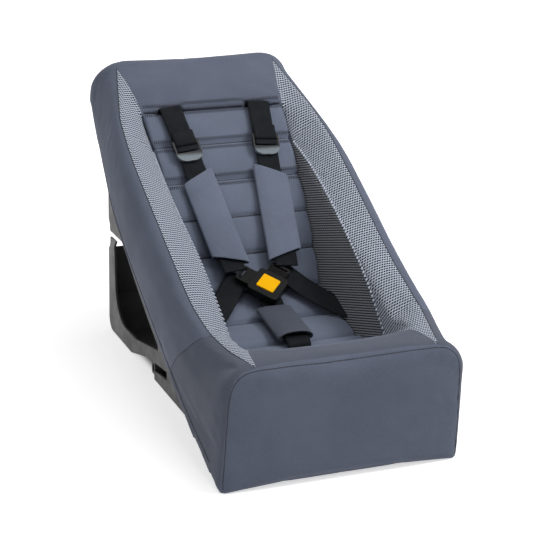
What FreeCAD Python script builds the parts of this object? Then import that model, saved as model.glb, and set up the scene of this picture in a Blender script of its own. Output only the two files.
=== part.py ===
import FreeCAD, Part
import math
import os
import Sketcher

# Reclined infant seat for a bicycle trailer, in millimetres.
# X runs across the seat, Y from the apron at the front to the head, Z up from the floor.
# "Reach" values are measured backwards from the front of the apron.

SIZES = {
    # padded tub, side view
    "overall_length": 620,
    "overall_width": 315,
    "crest_front_height": 155,
    "crest_angle": 28.6,
    "crest_radius": 428,
    "apron_lean": 16,
    "band_depth": 110,
    "head_setback": 52,
    "head_thickness": 66,
    "kick_reach": 450,
    "crest_round": 18,
    "front_crest_round": 40,
    "head_crest_round": 54,
    "head_end_round": 14,
    "apron_round": 12,
    "front_taper": 8,
    "front_taper_length": 160,
    "head_taper": 16,
    "head_taper_start": 350,
    # bolsters and hollow of the tub
    "bolster_width": 55.5,
    "wall_angle": 11.3,
    "seam_inset": 24.5,
    "seam_tip_inset": 45.5,
    "seam_tip_drop": 1.5,
    "bolster_front_drop": 33,
    "bolster_waist_drop": 16,
    "bolster_rear_drop": 43,
    "bolster_front_reach": 112,
    "bolster_waist_reach": 236,
    "bolster_rear_reach": 430,
    "roll_start_reach": 10,
    "roll_reach": 52,
    "roll_drop": 2.5,
    "roll_back_radius": 90,
    # quilted liner
    "liner_thickness": 15,
    "slot_reach": 476.6,
    "slot_height": 345.6,
    "head_panel_angle": 33.8,
    "head_panel_length": 86,
    "back_angle": 44.35,
    "lumbar_angle": 51,
    "lumbar_length": 131,
    "seat_angle": 8,
    "seat_length": 158,
    "quilt_pitch": 57,
    "quilt_radius": 120,
    "soft_gap": 0.3,
    "cut_over": 1,
    # pan
    "pan_inset": 10.5,
    "pan_taper": 16,
    "pan_taper_start": 470,
    "pan_wall": 3.5,
    "pan_rim_gap": 2.5,
    "pan_rim_depth": 6,
    "pan_front_reach": 75,
    "pan_rear_reach": 490,
    "pan_top_reach": 574,
    "pan_sag_radius": 1236,
    # stand
    "stand_width": 228,
    "stand_wall": 3,
    "joint_gap": 0.1,
    "stand_height": 222,
    "stand_lean": 16,
    "stand_rear_radius": 18,
    "stand_hook_radius": 48,
    "stand_top_reach": 556,
    "notch_front_reach": 393,
    "notch_length": 28,
    "notch_height": 21,
    "heel_reach": 505,
    "belt_slot_height": 142,
    "belt_slot_width": 9,
    "belt_slot_depth": 60,
    "frame_band": 38,
    "strut_depth": 26,
    "window_front_reach": 373,
    "low_window_front_reach": 335,
    "loop_width": 8,
    "loop_rim": 4,
    "loop_clearance": 1.2,
    "stand_screw_front_reach": 260,
    "stand_screw_rear_reach": 440,
    "stand_screw_spacing": 140,
    # harness
    "webbing_width": 30,
    "webbing_thickness": 1.4,
    "webbing_lift": 8.5,
    "slot_spacing": 124,
    "slot_width": 37,
    "slot_opening": 7,
    "strap_slant": 6,
    "bar_radius": 2,
    "bar_reach": 62,
    "bar_spacing": 8.4,
    "adjuster_width": 36,
    "adjuster_rail": 2.4,
    "tab_length": 13,
    "strap_fold": 5,
    "pad_start": 103,
    "pad_end": 250,
    "pad_end_slant": 18,
    "pad_width": 46,
    "pad_thickness": 9.6,
    "strap_end": 257,
    "anchor_width": 44,
    "anchor_thickness": 2.5,
    "anchor_seat": 0.9,
    "crotch_slot_inset": 37.6,
    "crotch_bend": 8,
    "crotch_turn_height": 119,
    "crotch_pad_length": 74,
    "crotch_pad_width": 46,
    "hip_wall_reach": 225,
    "hip_wall_height": 137,
    "hip_slot_depth": 14,
    "hip_strap_drop": 1.2,
    # buckle
    "buckle_reach": 262,
    "buckle_height": 161,
    "buckle_tilt": 30,
    "buckle_side": 42,
    "buckle_corner": 5,
    "buckle_edge": 1.5,
    "buckle_front_thickness": 7,
    "buckle_back_thickness": 5,
    "button_side": 24,
    "button_corner": 2,
    "button_edge": 0.8,
    "button_proud": 1.2,
    "button_travel": 3,
    "button_depth": 4.2,
    "button_stop": 3.2,
    "spring_wire": 0.8,
    "spring_radius": 5,
    "sliding_gap": 0.3,
    "tongue_width": 26,
    "tongue_thickness": 5,
    "tongue_blade_width": 16,
    "tongue_blade_thickness": 2.4,
    "tongue_blade_length": 7,
    "tongue_length": 20,
    "tongue_corner": 4,
    "tongue_slot": 3,
    "groove_width": 1.4,
    "groove_depth": 0.8,
    # fasteners
    "screw_diameter": 4,
    "screw_head_diameter": 8,
    "screw_head_height": 2.5,
}

doc = FreeCAD.newDocument("infant_seat")
sheet = doc.addObject("Spreadsheet::Sheet", "dims")
for row, (alias, value) in enumerate(SIZES.items(), start=1):
    sheet.set(f"A{row}", alias.replace("_", " "))
    sheet.set(f"B{row}", str(value))
    sheet.setAlias(f"B{row}", alias)
doc.recompute()


class Size:
    """A size that knows its number and the sheet expression it comes from."""

    def __init__(self, text, number):
        self.text = text
        self.number = number

    def __add__(self, other):
        other = as_size(other)
        return Size(f"({self.text} + {other.text})", self.number + other.number)

    def __sub__(self, other):
        other = as_size(other)
        return Size(f"({self.text} - {other.text})", self.number - other.number)

    def __mul__(self, other):
        other = as_size(other)
        return Size(f"({self.text} * {other.text})", self.number * other.number)

    def __truediv__(self, other):
        other = as_size(other)
        return Size(f"({self.text} / {other.text})", self.number / other.number)

    def __neg__(self):
        return self * -1

    def __radd__(self, other):
        return as_size(other) + self

    def __rsub__(self, other):
        return as_size(other) - self

    def __rmul__(self, other):
        return as_size(other) * self

    def __rtruediv__(self, other):
        return as_size(other) / self


def as_size(value):
    if isinstance(value, Size):
        return value
    return Size(repr(float(value)), float(value))


def sine(angle):
    return Size(f"sin({angle.text} * 1deg)", math.sin(math.radians(angle.number)))


def cosine(angle):
    return Size(f"cos({angle.text} * 1deg)", math.cos(math.radians(angle.number)))


def tangent(angle):
    return sine(angle) / cosine(angle)


def root(value):
    return Size(f"sqrt({value.text})", math.sqrt(value.number))


class Sheet:
    """Gives each sheet cell as a Size, by its alias."""

    def __getattr__(self, alias):
        return Size(f"<<dims>>.{alias}", float(sheet.get(alias)))


size = Sheet()


def number(value):
    return as_size(value).number


def bind(thing, field, value):
    """Set a property, and bind it to the sheet where the value comes from there."""
    value = as_size(value)
    if "<<dims>>" in value.text:
        thing.setExpression(field, value.text)
    else:
        setattr(thing, field, value.number)


def new_body(label):
    body = doc.addObject("PartDesign::Body", label)
    body.Label = label
    return body


def arc_between(start, end, radius):
    """Arc from start to end; a positive radius has its centre left of the way there."""
    chord = end - start
    half = chord.Length / 2
    rise = math.sqrt(max(radius * radius - half * half, 0))
    left = FreeCAD.Vector(-chord.y, chord.x, 0).normalize()
    side = 1 if radius > 0 else -1
    centre = (start + end) * 0.5 + left * (rise * side)
    angle = {}
    for name, point in (("start", start), ("end", end)):
        arm = point - centre
        angle[name] = math.atan2(arm.y, arm.x)
    circle = Part.Circle(centre, FreeCAD.Vector(0, 0, 1), abs(radius))
    if side > 0:
        return Part.ArcOfCircle(circle, angle["start"], angle["end"]), (1, 2)
    return Part.ArcOfCircle(circle, angle["end"], angle["start"]), (2, 1)


def draw(sketch, corners, closed=True):
    """Draw an outline; a corner is (x, y) or (x, y, radius of the arc to the next corner)."""
    points = [FreeCAD.Vector(number(corner[0]), number(corner[1]), 0) for corner in corners]
    first = sketch.GeometryCount
    count = len(corners) if closed else len(corners) - 1
    ends = []
    for index in range(count):
        start = points[index]
        end = points[(index + 1) % len(points)]
        if len(corners[index]) == 3:
            curve, order = arc_between(start, end, number(corners[index][2]))
        else:
            curve, order = Part.LineSegment(start, end), (1, 2)
        sketch.addGeometry(curve, False)
        ends.append(order)
    for index in range(count if closed else count - 1):
        following = (index + 1) % count
        sketch.addConstraint(Sketcher.Constraint(
            "Coincident", first + index, ends[index][1], first + following, ends[following][0]))
    for index, corner in enumerate(corners):
        if index < count:
            holder, vertex = first + index, ends[index][0]
        else:
            holder, vertex = first + index - 1, ends[index - 1][1]
        for kind, value in (("DistanceX", corner[0]), ("DistanceY", corner[1])):
            hold(sketch, Sketcher.Constraint(kind, -1, 1, holder, vertex, number(value)), value)
    for index in range(count):
        if len(corners[index]) == 3:
            radius = as_size(corners[index][2])
            if radius.number < 0:
                radius = -radius
            hold(sketch, Sketcher.Constraint("Radius", first + index, radius.number), radius)


def hold(sketch, constraint, value):
    """Add a dimension to a sketch and bind it to the sheet."""
    index = sketch.addConstraint(constraint)
    value = as_size(value)
    if "<<dims>>" in value.text:
        sketch.setExpression(f"Constraints[{index}]", value.text)


def sketch_on(body, plane, offset=0):
    """Sketch on one of the body's own planes, moved along the plane's normal."""
    sketch = body.newObject("Sketcher::SketchObject", f"{body.Name}_outline")
    support = [feature for feature in body.Origin.OriginFeatures if feature.Role == plane][0]
    sketch.AttachmentSupport = [(support, "")]
    sketch.MapMode = "FlatFace"
    if isinstance(offset, Size):
        bind(sketch, "AttachmentOffset.Base.z", offset)
    return sketch


def extrude(body, sketch, length, kind="Pad", symmetric=True, reverse=False):
    feature = body.newObject(f"PartDesign::{kind}", f"{body.Name}_{kind}")
    feature.Profile = sketch
    if symmetric:
        feature.SideType = "Symmetric"
    feature.Reversed = reverse
    bind(feature, "Length", length)
    doc.recompute()
    return feature


def plate(label, plane, corners, length, symmetric=True, offset=0):
    """A body padded from one outline."""
    body = new_body(label)
    sketch = sketch_on(body, plane, offset)
    draw(sketch, corners)
    extrude(body, sketch, length, symmetric=symmetric)
    return body


def pocket(body, plane, corners, length, offset=0):
    sketch = sketch_on(body, plane, offset)
    draw(sketch, corners)
    extrude(body, sketch, length, "Pocket")


def round_edges(body, radius, test):
    """Fillet the edges of the body's tip that pass the test."""
    base = body.Tip
    names = [f"Edge{index}" for index, edge in enumerate(base.Shape.Edges, start=1) if test(edge)]
    fillet = body.newObject("PartDesign::Fillet", f"{body.Name}_Fillet")
    fillet.Base = (base, names)
    bind(fillet, "Radius", radius)
    doc.recompute()
    return fillet


def middle(edge):
    return edge.valueAt((edge.FirstParameter + edge.LastParameter) / 2)


def boolean(kind, label, base, tool):
    result = doc.addObject(f"Part::{kind}", label)
    result.Label = label
    result.Base = base
    result.Tool = tool
    doc.recompute()
    return result


def cut(label, base, *tools):
    """Take the tools away from the base, one after another; the last result has the label."""
    for index, tool in enumerate(tools):
        last = index == len(tools) - 1
        base = boolean("Cut", label if last else f"{label}_step_{index + 1}", base, tool)
    return base


def box_tool(label, length, width, height, placement):
    """A box centred on its placement."""
    tool = doc.addObject("Part::Box", label)
    bind(tool, "Length", length)
    bind(tool, "Width", width)
    bind(tool, "Height", height)
    half = FreeCAD.Vector(number(length), number(width), number(height)) * -0.5
    tool.Placement = placement.multiply(FreeCAD.Placement(half, FreeCAD.Rotation()))
    return tool


def vector(x, y, z):
    return FreeCAD.Vector(number(x), number(y), number(z))


def placed(origin, tilt=0.0, turn=0.0):
    """Placement at origin, tilted about X and then turned in its own plane."""
    about_x = FreeCAD.Rotation(FreeCAD.Vector(1, 0, 0), number(tilt))
    about_z = FreeCAD.Rotation(FreeCAD.Vector(0, 0, 1), number(turn))
    return FreeCAD.Placement(origin, about_x.multiply(about_z))


SIDES = (("left", -1), ("right", 1))

# plan view of the tub: half widths
half_width = size.overall_width / 2
cavity_half_width = half_width - size.bolster_width
seam_half_width = half_width - size.seam_inset
seam_tip_half_width = half_width - size.seam_tip_inset
pan_width = size.overall_width - 2 * size.pan_inset

# side view of the tub: points as (y, z)
front = -size.overall_length / 2
head_reach = size.overall_length - size.head_setback
slope = tangent(size.crest_angle)
join_reach = size.crest_radius * sine(size.crest_angle)
join_height = size.crest_front_height + size.crest_radius * (1 - cosine(size.crest_angle))


def crest_line(reach):
    return join_height + slope * (reach - join_reach)


def crest_arc(reach):
    fall = root(size.crest_radius * size.crest_radius - reach * reach)
    return size.crest_front_height + size.crest_radius - fall


def crest(reach):
    return crest_arc(reach) if number(reach) < join_reach.number else crest_line(reach)


def lower_line(reach):
    return crest_line(reach) - size.band_depth


head_top = (head_reach, crest_line(head_reach))
head_back = (head_top[0] + size.head_thickness * sine(size.crest_angle),
             head_top[1] - size.head_thickness * cosine(size.crest_angle))
kick = (size.kick_reach, lower_line(size.kick_reach))
kick_slope = (head_back[1] - kick[1]) / (head_back[0] - kick[0])
lower_start = join_reach - (join_height - size.band_depth) / slope


def kick_line(reach):
    return kick[1] + kick_slope * (reach - kick[0])


def side_view(*corners):
    """Corners given as reach and height become sketch corners in Y and Z."""
    return [(front + corner[0],) + tuple(corner[1:]) for corner in corners]


# side view of the liner: top corners from the head end to the front
slot = (size.slot_reach, size.slot_height)


def along(start, angle, distance):
    """Point at a distance down a slope, towards the front."""
    return (start[0] - cosine(angle) * distance, start[1] - sine(angle) * distance)


knee = along(slot, size.back_angle, 3 * size.quilt_pitch)
seat_corner = along(knee, size.lumbar_angle, size.lumbar_length)
seat_front = along(seat_corner, size.seat_angle, size.seat_length)
head_end = along(slot, size.head_panel_angle, -size.head_panel_length)
crotch_slot_reach = seat_front[0] + size.crotch_slot_inset


def below_end(point, angle, depth):
    return (point[0] + depth * sine(angle), point[1] - depth * cosine(angle))


def below_corner(point, angle_before, angle_after, depth):
    """Corner of the line that runs a depth below two slopes that meet at the point."""
    share = depth / (1 + cosine(angle_before - angle_after))
    return (point[0] + share * (sine(angle_before) + sine(angle_after)),
            point[1] - share * (cosine(angle_before) + cosine(angle_after)))


def liner_underside(depth):
    return [below_end(seat_front, size.seat_angle, depth),
            below_corner(seat_corner, size.lumbar_angle, size.seat_angle, depth),
            below_corner(knee, size.back_angle, size.lumbar_angle, depth),
            below_corner(slot, size.head_panel_angle, size.back_angle, depth),
            below_end(head_end, size.head_panel_angle, depth)]


# frames of the harness
back_frame = placed(vector(0, front + slot[0], slot[1]), size.back_angle)
buckle_frame = placed(vector(0, front + size.buckle_reach, size.buckle_height), size.buckle_tilt)


def strap_frame(side):
    """Frame at a shoulder slot: Y up the strap, Z out of the back."""
    shift = FreeCAD.Placement(vector(side * size.slot_spacing / 2, 0, 0),
                              FreeCAD.Rotation(FreeCAD.Vector(0, 0, 1), -side * number(size.strap_slant)))
    return back_frame.multiply(shift)


# tools that cut the strap slots through liner, tub and pan
through = head_reach / 2
shoulder_slots = [box_tool(f"shoulder_slot_{name}", size.slot_width, size.slot_opening, through,
                           strap_frame(side)) for name, side in SIDES]
crotch_slot = box_tool("crotch_slot", size.slot_width, size.slot_opening, through,
                       placed(vector(0, front + crotch_slot_reach, through / 2 + 4 * size.stand_wall)))


def hip_frame(side):
    """Frame where a hip strap enters the side wall: X outwards along the strap."""
    wall = vector(side * (cavity_half_width - size.hip_slot_depth), front + size.hip_wall_reach,
                  size.hip_wall_height)
    start = tongue_tail(side)
    axis = (wall - start).normalize()
    across = buckle_frame.Rotation.multVec(FreeCAD.Vector(0, 0, 1)).cross(axis).normalize()
    return FreeCAD.Placement(wall, FreeCAD.Rotation(axis, across, axis.cross(across)))


def tongue_frame(side):
    """Frame of a tongue in the buckle: Y outwards along the tongue, Z out of the buckle's face."""
    turn = FreeCAD.Rotation(FreeCAD.Vector(0, 0, 1), -side * 45)
    return buckle_frame.multiply(FreeCAD.Placement(FreeCAD.Vector(), turn))


tongue_middle = -(size.buckle_front_thickness - size.tongue_blade_thickness / 2)


def tongue_tail(side):
    """Underside of a tongue near its outer end, where the hip strap starts."""
    reach = size.buckle_side / 2 + size.tongue_length
    drop = tongue_middle - size.tongue_thickness / 2 - size.webbing_thickness / 2 - size.hip_strap_drop
    return tongue_frame(side).multVec(vector(0, reach, drop))


hip_slots = [box_tool(f"hip_slot_{name}", 3 * size.hip_slot_depth, size.webbing_width * 1.13,
                      size.webbing_thickness * 3.15, hip_frame(side)) for name, side in SIDES]


def taper_rear(body, inset):
    """Draw the sides of the pan, or of what lies in it, in towards the head."""
    start = front + size.pan_taper_start
    end = front + size.overall_length
    wide = pan_width / 2 - inset
    for _, side in SIDES:
        outside = side * size.overall_width
        pocket(body, "XY_Plane", [(side * wide, start), (side * (wide - size.pan_taper), end), (outside, end),
                                  (outside, start)], 2 * size.overall_length)


def front_share(reach):
    """1 at the apron, easing to 0 where the tub has its full width."""
    if number(reach) >= number(size.front_taper_length):
        return as_size(0)
    return (1 + cosine(180 * reach / size.front_taper_length)) / 2


def head_share(reach):
    """0 where the tub has its full width, easing to 1 at the far end of the stand."""
    if number(reach) <= number(size.head_taper_start):
        return as_size(0)
    span = size.overall_length - size.head_taper_start
    return (1 - cosine(180 * (reach - size.head_taper_start) / span)) / 2


def tub_stations():
    """Reaches of the tub's cross sections, closer together at both ends."""
    front_steps = [size.front_taper_length * share for share in (0, 0.25, 0.5, 0.75, 1)]
    joint = size.head_taper_start
    tail = size.overall_length - joint
    rear_steps = [joint + tail * share for share in (0, 0.18, 0.36, 0.54, 0.7, 0.85, 1)]
    return front_steps + [join_reach, (join_reach + joint) / 2] + rear_steps


def tub_envelope(body):
    """Loft of cross sections under the crest: full in the middle, drawn in and rounder at both ends."""
    sketches = []
    for reach in tub_stations():
        half = half_width - size.front_taper * front_share(reach) - size.head_taper * head_share(reach)
        edge = (size.crest_round + (size.front_crest_round - size.crest_round) * front_share(reach)
                + (size.head_crest_round - size.crest_round) * head_share(reach))
        top = crest(reach)
        low = -size.crest_round
        sketch = sketch_on(body, "XZ_Plane", -(front + reach))
        draw(sketch, [(-half, low), (half, low), (half, top - edge, edge), (half - edge, top),
                      (edge - half, top, edge), (-half, top - edge)])
        sketches.append(sketch)
    doc.recompute()
    loft = body.newObject("PartDesign::AdditiveLoft", f"{body.Name}_loft")
    loft.Profile = sketches[0]
    loft.Sections = sketches[1:]
    doc.recompute()


def padded_tub():
    """Foam-filled cover: rounded side profile, belly in the pan, hollow with sloping bolsters."""
    body = new_body("tub_block")
    tub_envelope(body)
    clear = size.head_thickness
    above = size.crest_front_height + clear
    apron_slope = size.apron_lean / size.crest_front_height
    around = sketch_on(body, "YZ_Plane")
    far = 2 * size.overall_length
    draw(around, side_view((-clear, -clear), (far, -clear), (far, far), (-clear, far)))
    draw(around, side_view(
        (size.apron_lean, 0),
        (size.apron_lean - apron_slope * above, above),
        (head_top[0] - clear * sine(size.crest_angle), head_top[1] + clear * cosine(size.crest_angle)),
        head_back,
        kick,
        (lower_start, 0)))
    extrude(body, around, far, "Pocket")

    def on_head_end(edge):
        spots = [edge.Vertexes[0].Point, middle(edge), edge.Vertexes[-1].Point]
        goal = vector(0, front + head_back[0], head_back[1])
        out = FreeCAD.Vector(0, number(cosine(size.crest_angle)), number(sine(size.crest_angle)))
        flat = all(abs((spot - goal).dot(out)) < 0.1 for spot in spots)
        return flat and spots[1].z > goal.z + 1

    lean = number(size.apron_lean)
    apron_height = number(size.crest_front_height)

    def on_apron(edge):
        spots = [edge.Vertexes[0].Point, middle(edge), edge.Vertexes[-1].Point]
        faces = [abs(spot.y - number(front) - lean * (1 - spot.z / apron_height)) < 0.1 for spot in spots]
        return all(faces) and spots[1].z > 1

    round_edges(body, size.head_end_round, on_head_end)
    round_edges(body, size.apron_round, on_apron)
    belly_rise = (size.pan_wall + size.soft_gap) / cosine(size.crest_angle) - size.pan_rim_depth
    belly = plate("tub_belly", "YZ_Plane", side_view(
        (size.pan_front_reach, lower_line(size.pan_front_reach) + belly_rise, size.pan_sag_radius),
        (size.pan_rear_reach, lower_line(size.pan_rear_reach) + belly_rise),
        (size.pan_rear_reach, kick_line(size.pan_rear_reach) + size.cut_over),
        (size.kick_reach, kick[1] + size.cut_over),
        (size.pan_front_reach, lower_line(size.pan_front_reach) + size.cut_over)),
        pan_width - 2 * (size.pan_wall + size.soft_gap))
    taper_rear(belly, size.pan_wall + size.soft_gap)
    block = boolean("Fuse", "tub_with_belly", body, belly)
    hollow = boolean("Common", "seat_hollow", seat_hollow_profile(), seat_hollow_walls())
    return cut("padded_tub", block, bolster_slopes(), hollow, *shoulder_slots, crotch_slot, *hip_slots)


def bolster_slopes():
    """Slopes of the bolster tops, dipping between a tip at the apron and a tip at the head."""
    body = new_body("bolster_slopes")
    clear = size.bolster_width
    inner = cavity_half_width * 0.8
    tip_drop = size.seam_tip_drop
    stations = ((2 * size.cut_over, seam_tip_half_width, tip_drop),
                (size.roll_reach, (seam_half_width + seam_tip_half_width) / 2, size.roll_drop),
                (size.bolster_front_reach, seam_half_width, size.bolster_front_drop),
                (size.bolster_waist_reach, seam_half_width, size.bolster_waist_drop),
                (size.bolster_rear_reach, seam_half_width, size.bolster_rear_drop),
                (head_reach - size.crest_round, seam_tip_half_width, tip_drop))
    sketches = []
    for reach, seam, drop in stations:
        sketch = sketch_on(body, "XZ_Plane", -(front + reach))
        top = crest(reach)
        draw(sketch, [(-seam, top), (-inner, top - drop), (inner, top - drop), (seam, top),
                      (seam, top + clear), (-seam, top + clear)])
        sketches.append(sketch)
    doc.recompute()
    loft = body.newObject("PartDesign::AdditiveLoft", "bolster_slopes_loft")
    loft.Profile = sketches[0]
    loft.Sections = sketches[1:]
    loft.Ruled = True
    doc.recompute()
    return body


def seat_hollow_profile():
    """Side view of the hollow: front roll, room for the liner, and open above."""
    depth = size.liner_thickness + size.soft_gap
    bottom = liner_underside(depth)
    gap = size.soft_gap
    above = crest_line(head_reach) + size.head_thickness
    return plate("seat_hollow_profile", "YZ_Plane", side_view(
        (size.roll_start_reach, above),
        (size.roll_start_reach, crest(size.roll_start_reach) - size.cut_over),
        (size.roll_reach, crest(size.roll_reach) - size.roll_drop, -size.roll_back_radius),
        (seat_front[0] - 3 * gap, seat_front[1] + size.pan_wall),
        (bottom[0][0] - gap, bottom[0][1]),
        *bottom[1:4],
        (bottom[4][0] + gap, bottom[4][1]),
        (head_end[0] + gap, head_end[1]),
        (head_end[0] + gap, above)), size.overall_width)


def seat_hollow_walls(inset=0, label="seat_hollow_walls"):
    """Side walls of the hollow, drawn inwards with depth below the crest."""
    body = new_body(label)
    body.Placement = placed(vector(0, front + join_reach, join_height), size.crest_angle)
    rise = size.crest_radius / 4
    ends = (-head_reach / 2, head_reach)
    sketches = []
    for level in (rise, -1.4 * rise):
        half = cavity_half_width - inset + level * tangent(size.wall_angle)
        sketch = sketch_on(body, "XY_Plane", level)
        draw(sketch, [(-half, ends[0]), (half, ends[0]), (half, ends[1]), (-half, ends[1])])
        sketches.append(sketch)
    doc.recompute()
    loft = body.newObject("PartDesign::AdditiveLoft", f"{label}_loft")
    loft.Profile = sketches[0]
    loft.Sections = sketches[1:]
    doc.recompute()
    return body


def quilted_liner():
    """Pad with sewn channels: head panel, back, lumbar part and seat in one piece."""
    pitch = size.quilt_pitch
    bulge = size.quilt_radius
    lumbar_pitch = size.lumbar_length * 0.4
    seat_pitch = size.seat_length * 0.4
    top = [head_end + (4 * bulge,)]
    top += [along(slot, size.back_angle, step * pitch) + (bulge,) for step in range(3)]
    top += [along(knee, size.lumbar_angle, step * lumbar_pitch) + (bulge,) for step in range(3)]
    for step in (2, 1):
        top.append(along(seat_corner, size.seat_angle, size.seat_length - step * seat_pitch) + (bulge,))
    outline = side_view(*top, seat_front, *liner_underside(size.liner_thickness))
    block = plate("liner_block", "YZ_Plane", outline, size.overall_width)
    shaped = boolean("Common", "liner_shaped", block, seat_hollow_walls(size.soft_gap, "liner_sides"))
    return cut("quilted_liner", shaped, *shoulder_slots, crotch_slot)


def pan_arc(lift):
    """Lower line of the pan, moved up by a lift: start corner with its arc, and end corner."""
    rise = lift - size.pan_rim_depth
    return ((size.pan_front_reach, lower_line(size.pan_front_reach) + rise, size.pan_sag_radius),
            (size.pan_rear_reach, lower_line(size.pan_rear_reach) + rise))


# underside of the pan: the arc's centre gives its height and slope at any reach
pan_chord_middle = (size.pan_front_reach + size.pan_rear_reach) / 2
pan_half_chord = (size.pan_rear_reach - size.pan_front_reach) / (2 * cosine(size.crest_angle))
pan_arm = root(size.pan_sag_radius * size.pan_sag_radius - pan_half_chord * pan_half_chord)
pan_centre = (pan_chord_middle - pan_arm * sine(size.crest_angle),
              lower_line(pan_chord_middle) - size.pan_rim_depth + pan_arm * cosine(size.crest_angle))


def pan_underside(reach):
    offset = reach - pan_centre[0]
    return pan_centre[1] - root(size.pan_sag_radius * size.pan_sag_radius - offset * offset)


# height of the stand's top plate and its gap, measured straight down from the pan
stand_plate = size.stand_wall / cosine(size.crest_angle) + size.soft_gap


def pan_slope_degrees(reach):
    return math.degrees(math.asin(number((reach - pan_centre[0]) / size.pan_sag_radius)))


pan_plate_start = pan_arc(0)[1]
pan_plate_end = (size.pan_top_reach, kick_line(size.pan_top_reach) - size.pan_rim_gap - size.pan_rim_depth)
pan_plate_slope = (pan_plate_end[1] - pan_plate_start[1]) / (pan_plate_end[0] - pan_plate_start[0])


def pan_plate_underside(reach):
    return pan_plate_start[1] + pan_plate_slope * (reach - pan_plate_start[0])


def screw_frames():
    """Places of the screws under the stand's top plate: Z into the pan, square to its underside."""
    frames = []
    for reach in (size.stand_screw_front_reach, size.stand_screw_rear_reach):
        for _, side in SIDES:
            across = side * size.stand_screw_spacing / 2
            spot = vector(across, front + reach, pan_underside(reach) - stand_plate)
            frames.append(placed(spot, pan_slope_degrees(reach)))
    return frames


def cylinder(label, radius, height, placement):
    rod = doc.addObject("Part::Cylinder", label)
    bind(rod, "Radius", radius)
    bind(rod, "Height", height)
    rod.Placement = placement
    return rod


def lifted(placement, height):
    """The placement moved along its own Z."""
    return placement.multiply(FreeCAD.Placement(vector(0, 0, height), FreeCAD.Rotation()))


screw_holes = [cylinder(f"screw_hole_{index}", size.screw_diameter / 2 + size.sliding_gap,
                        6 * size.stand_wall, lifted(frame, -2 * size.stand_wall))
               for index, frame in enumerate(screw_frames(), start=1)]


def seat_pan():
    """Moulded hull: sagging belly with side walls, and a plate up behind the head."""
    rim = -size.pan_rim_gap
    top = size.pan_top_reach
    body = plate("pan_block", "YZ_Plane", side_view(
        *pan_arc(0),
        (top, kick_line(top) + rim - size.pan_rim_depth),
        (top, kick_line(top) + rim),
        (size.kick_reach, kick[1] + rim),
        (size.pan_front_reach, lower_line(size.pan_front_reach) + rim)), pan_width)
    taper_rear(body, 0)
    rise = size.pan_wall / cosine(size.crest_angle)
    belly = plate("pan_hollow", "YZ_Plane", side_view(
        *pan_arc(rise),
        (size.pan_rear_reach, kick_line(size.pan_rear_reach) + size.cut_over),
        (size.kick_reach, kick[1] + size.cut_over),
        (size.pan_front_reach, lower_line(size.pan_front_reach) + size.cut_over)),
        pan_width - 2 * size.pan_wall)
    taper_rear(belly, size.pan_wall)
    return cut("seat_pan", body, belly, *shoulder_slots, crotch_slot, *screw_holes)


notch_rear_reach = size.notch_front_reach + size.notch_length
hollow_front = size.pan_front_reach + 8 * size.stand_wall


def stand_outline():
    """Side view of the stand: wedge under the pan with a hook at the rear and a notch for the loops."""
    gap = size.soft_gap
    rear = size.overall_length
    corner = size.stand_rear_radius
    arc_start, arc_end = pan_arc(-gap)
    return side_view(
        (size.pan_front_reach, 0),
        arc_start,
        arc_end,
        (size.stand_top_reach, pan_plate_underside(size.stand_top_reach) - gap),
        (rear - size.stand_lean, size.stand_height),
        (rear, corner, -corner),
        (rear - corner, 0),
        (size.heel_reach, 0),
        (notch_rear_reach, size.notch_height),
        (size.notch_front_reach, size.notch_height),
        (size.notch_front_reach, 0))


def stand_room():
    """Side view of the room inside the stand."""
    wall = size.stand_wall
    rear = size.overall_length
    hook = size.stand_hook_radius
    return side_view(
        (hollow_front, wall),
        (hollow_front, pan_underside(hollow_front) - stand_plate, size.pan_sag_radius),
        (size.pan_rear_reach, pan_underside(size.pan_rear_reach) - stand_plate),
        (size.pan_rear_reach, pan_plate_underside(size.pan_rear_reach) + wall),
        (size.stand_top_reach - 2 * wall, pan_plate_underside(size.stand_top_reach) + wall),
        (rear - size.stand_lean - wall, size.stand_height - wall),
        (rear - wall, wall + hook, -hook),
        (rear - wall - hook, wall),
        (size.heel_reach + 2 * wall, wall),
        (notch_rear_reach + wall / 2, size.notch_height + wall),
        (size.notch_front_reach - wall, size.notch_height + wall),
        (size.notch_front_reach - wall, wall))


def belt_window():
    """Side view of the belt path, with the slot over the rear hook."""
    wall = size.stand_wall
    rear = size.overall_length
    hook = size.stand_hook_radius
    band = size.frame_band
    strut = size.strut_depth
    slot_low = size.belt_slot_height
    slot_high = slot_low + size.belt_slot_width
    flare = size.belt_slot_width
    return side_view(
        (rear - band - flare, slot_low),
        (rear - band, slot_low - flare),
        (rear - band, strut + hook, -hook),
        (rear - band - hook, strut),
        (size.heel_reach - strut, strut + wall / 2),
        (size.window_front_reach, size.notch_height + strut),
        (size.window_front_reach, slot_high),
        (rear - size.belt_slot_depth, slot_high),
        (rear - 2 * flare, slot_high, -2 * flare),
        (rear + flare, slot_high + 2 * flare),
        (rear + flare, slot_low - 2 * flare, -2 * flare),
        (rear - 2 * flare, slot_low))


def stand_shell():
    """Top, floor, front, notch and rear of the hollow stand, parted by fine joints."""
    wall = size.stand_wall
    inner = size.stand_width - 2 * (wall + size.joint_gap)
    body = plate("stand_shell_block", "YZ_Plane", stand_outline(), inner)
    pocket(body, "YZ_Plane", stand_room(), size.stand_width)
    pocket(body, "YZ_Plane", belt_window(), size.stand_width)
    half = size.stand_width / 2 - size.frame_band
    near = front + hollow_front + size.strut_depth
    far = front + size.notch_front_reach - size.strut_depth
    pocket(body, "XY_Plane", [(-half, near), (half, near), (half, far), (-half, far)], 3 * wall)
    gap = size.joint_gap
    for reach, height in ((hollow_front, size.stand_height), (size.notch_front_reach - wall - gap, 2 * wall)):
        pocket(body, "YZ_Plane", side_view((reach, -wall), (reach + gap, -wall), (reach + gap, height),
                                           (reach, height)), size.stand_width)
    return cut("stand_shell", body, crotch_slot, *screw_holes)


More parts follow.
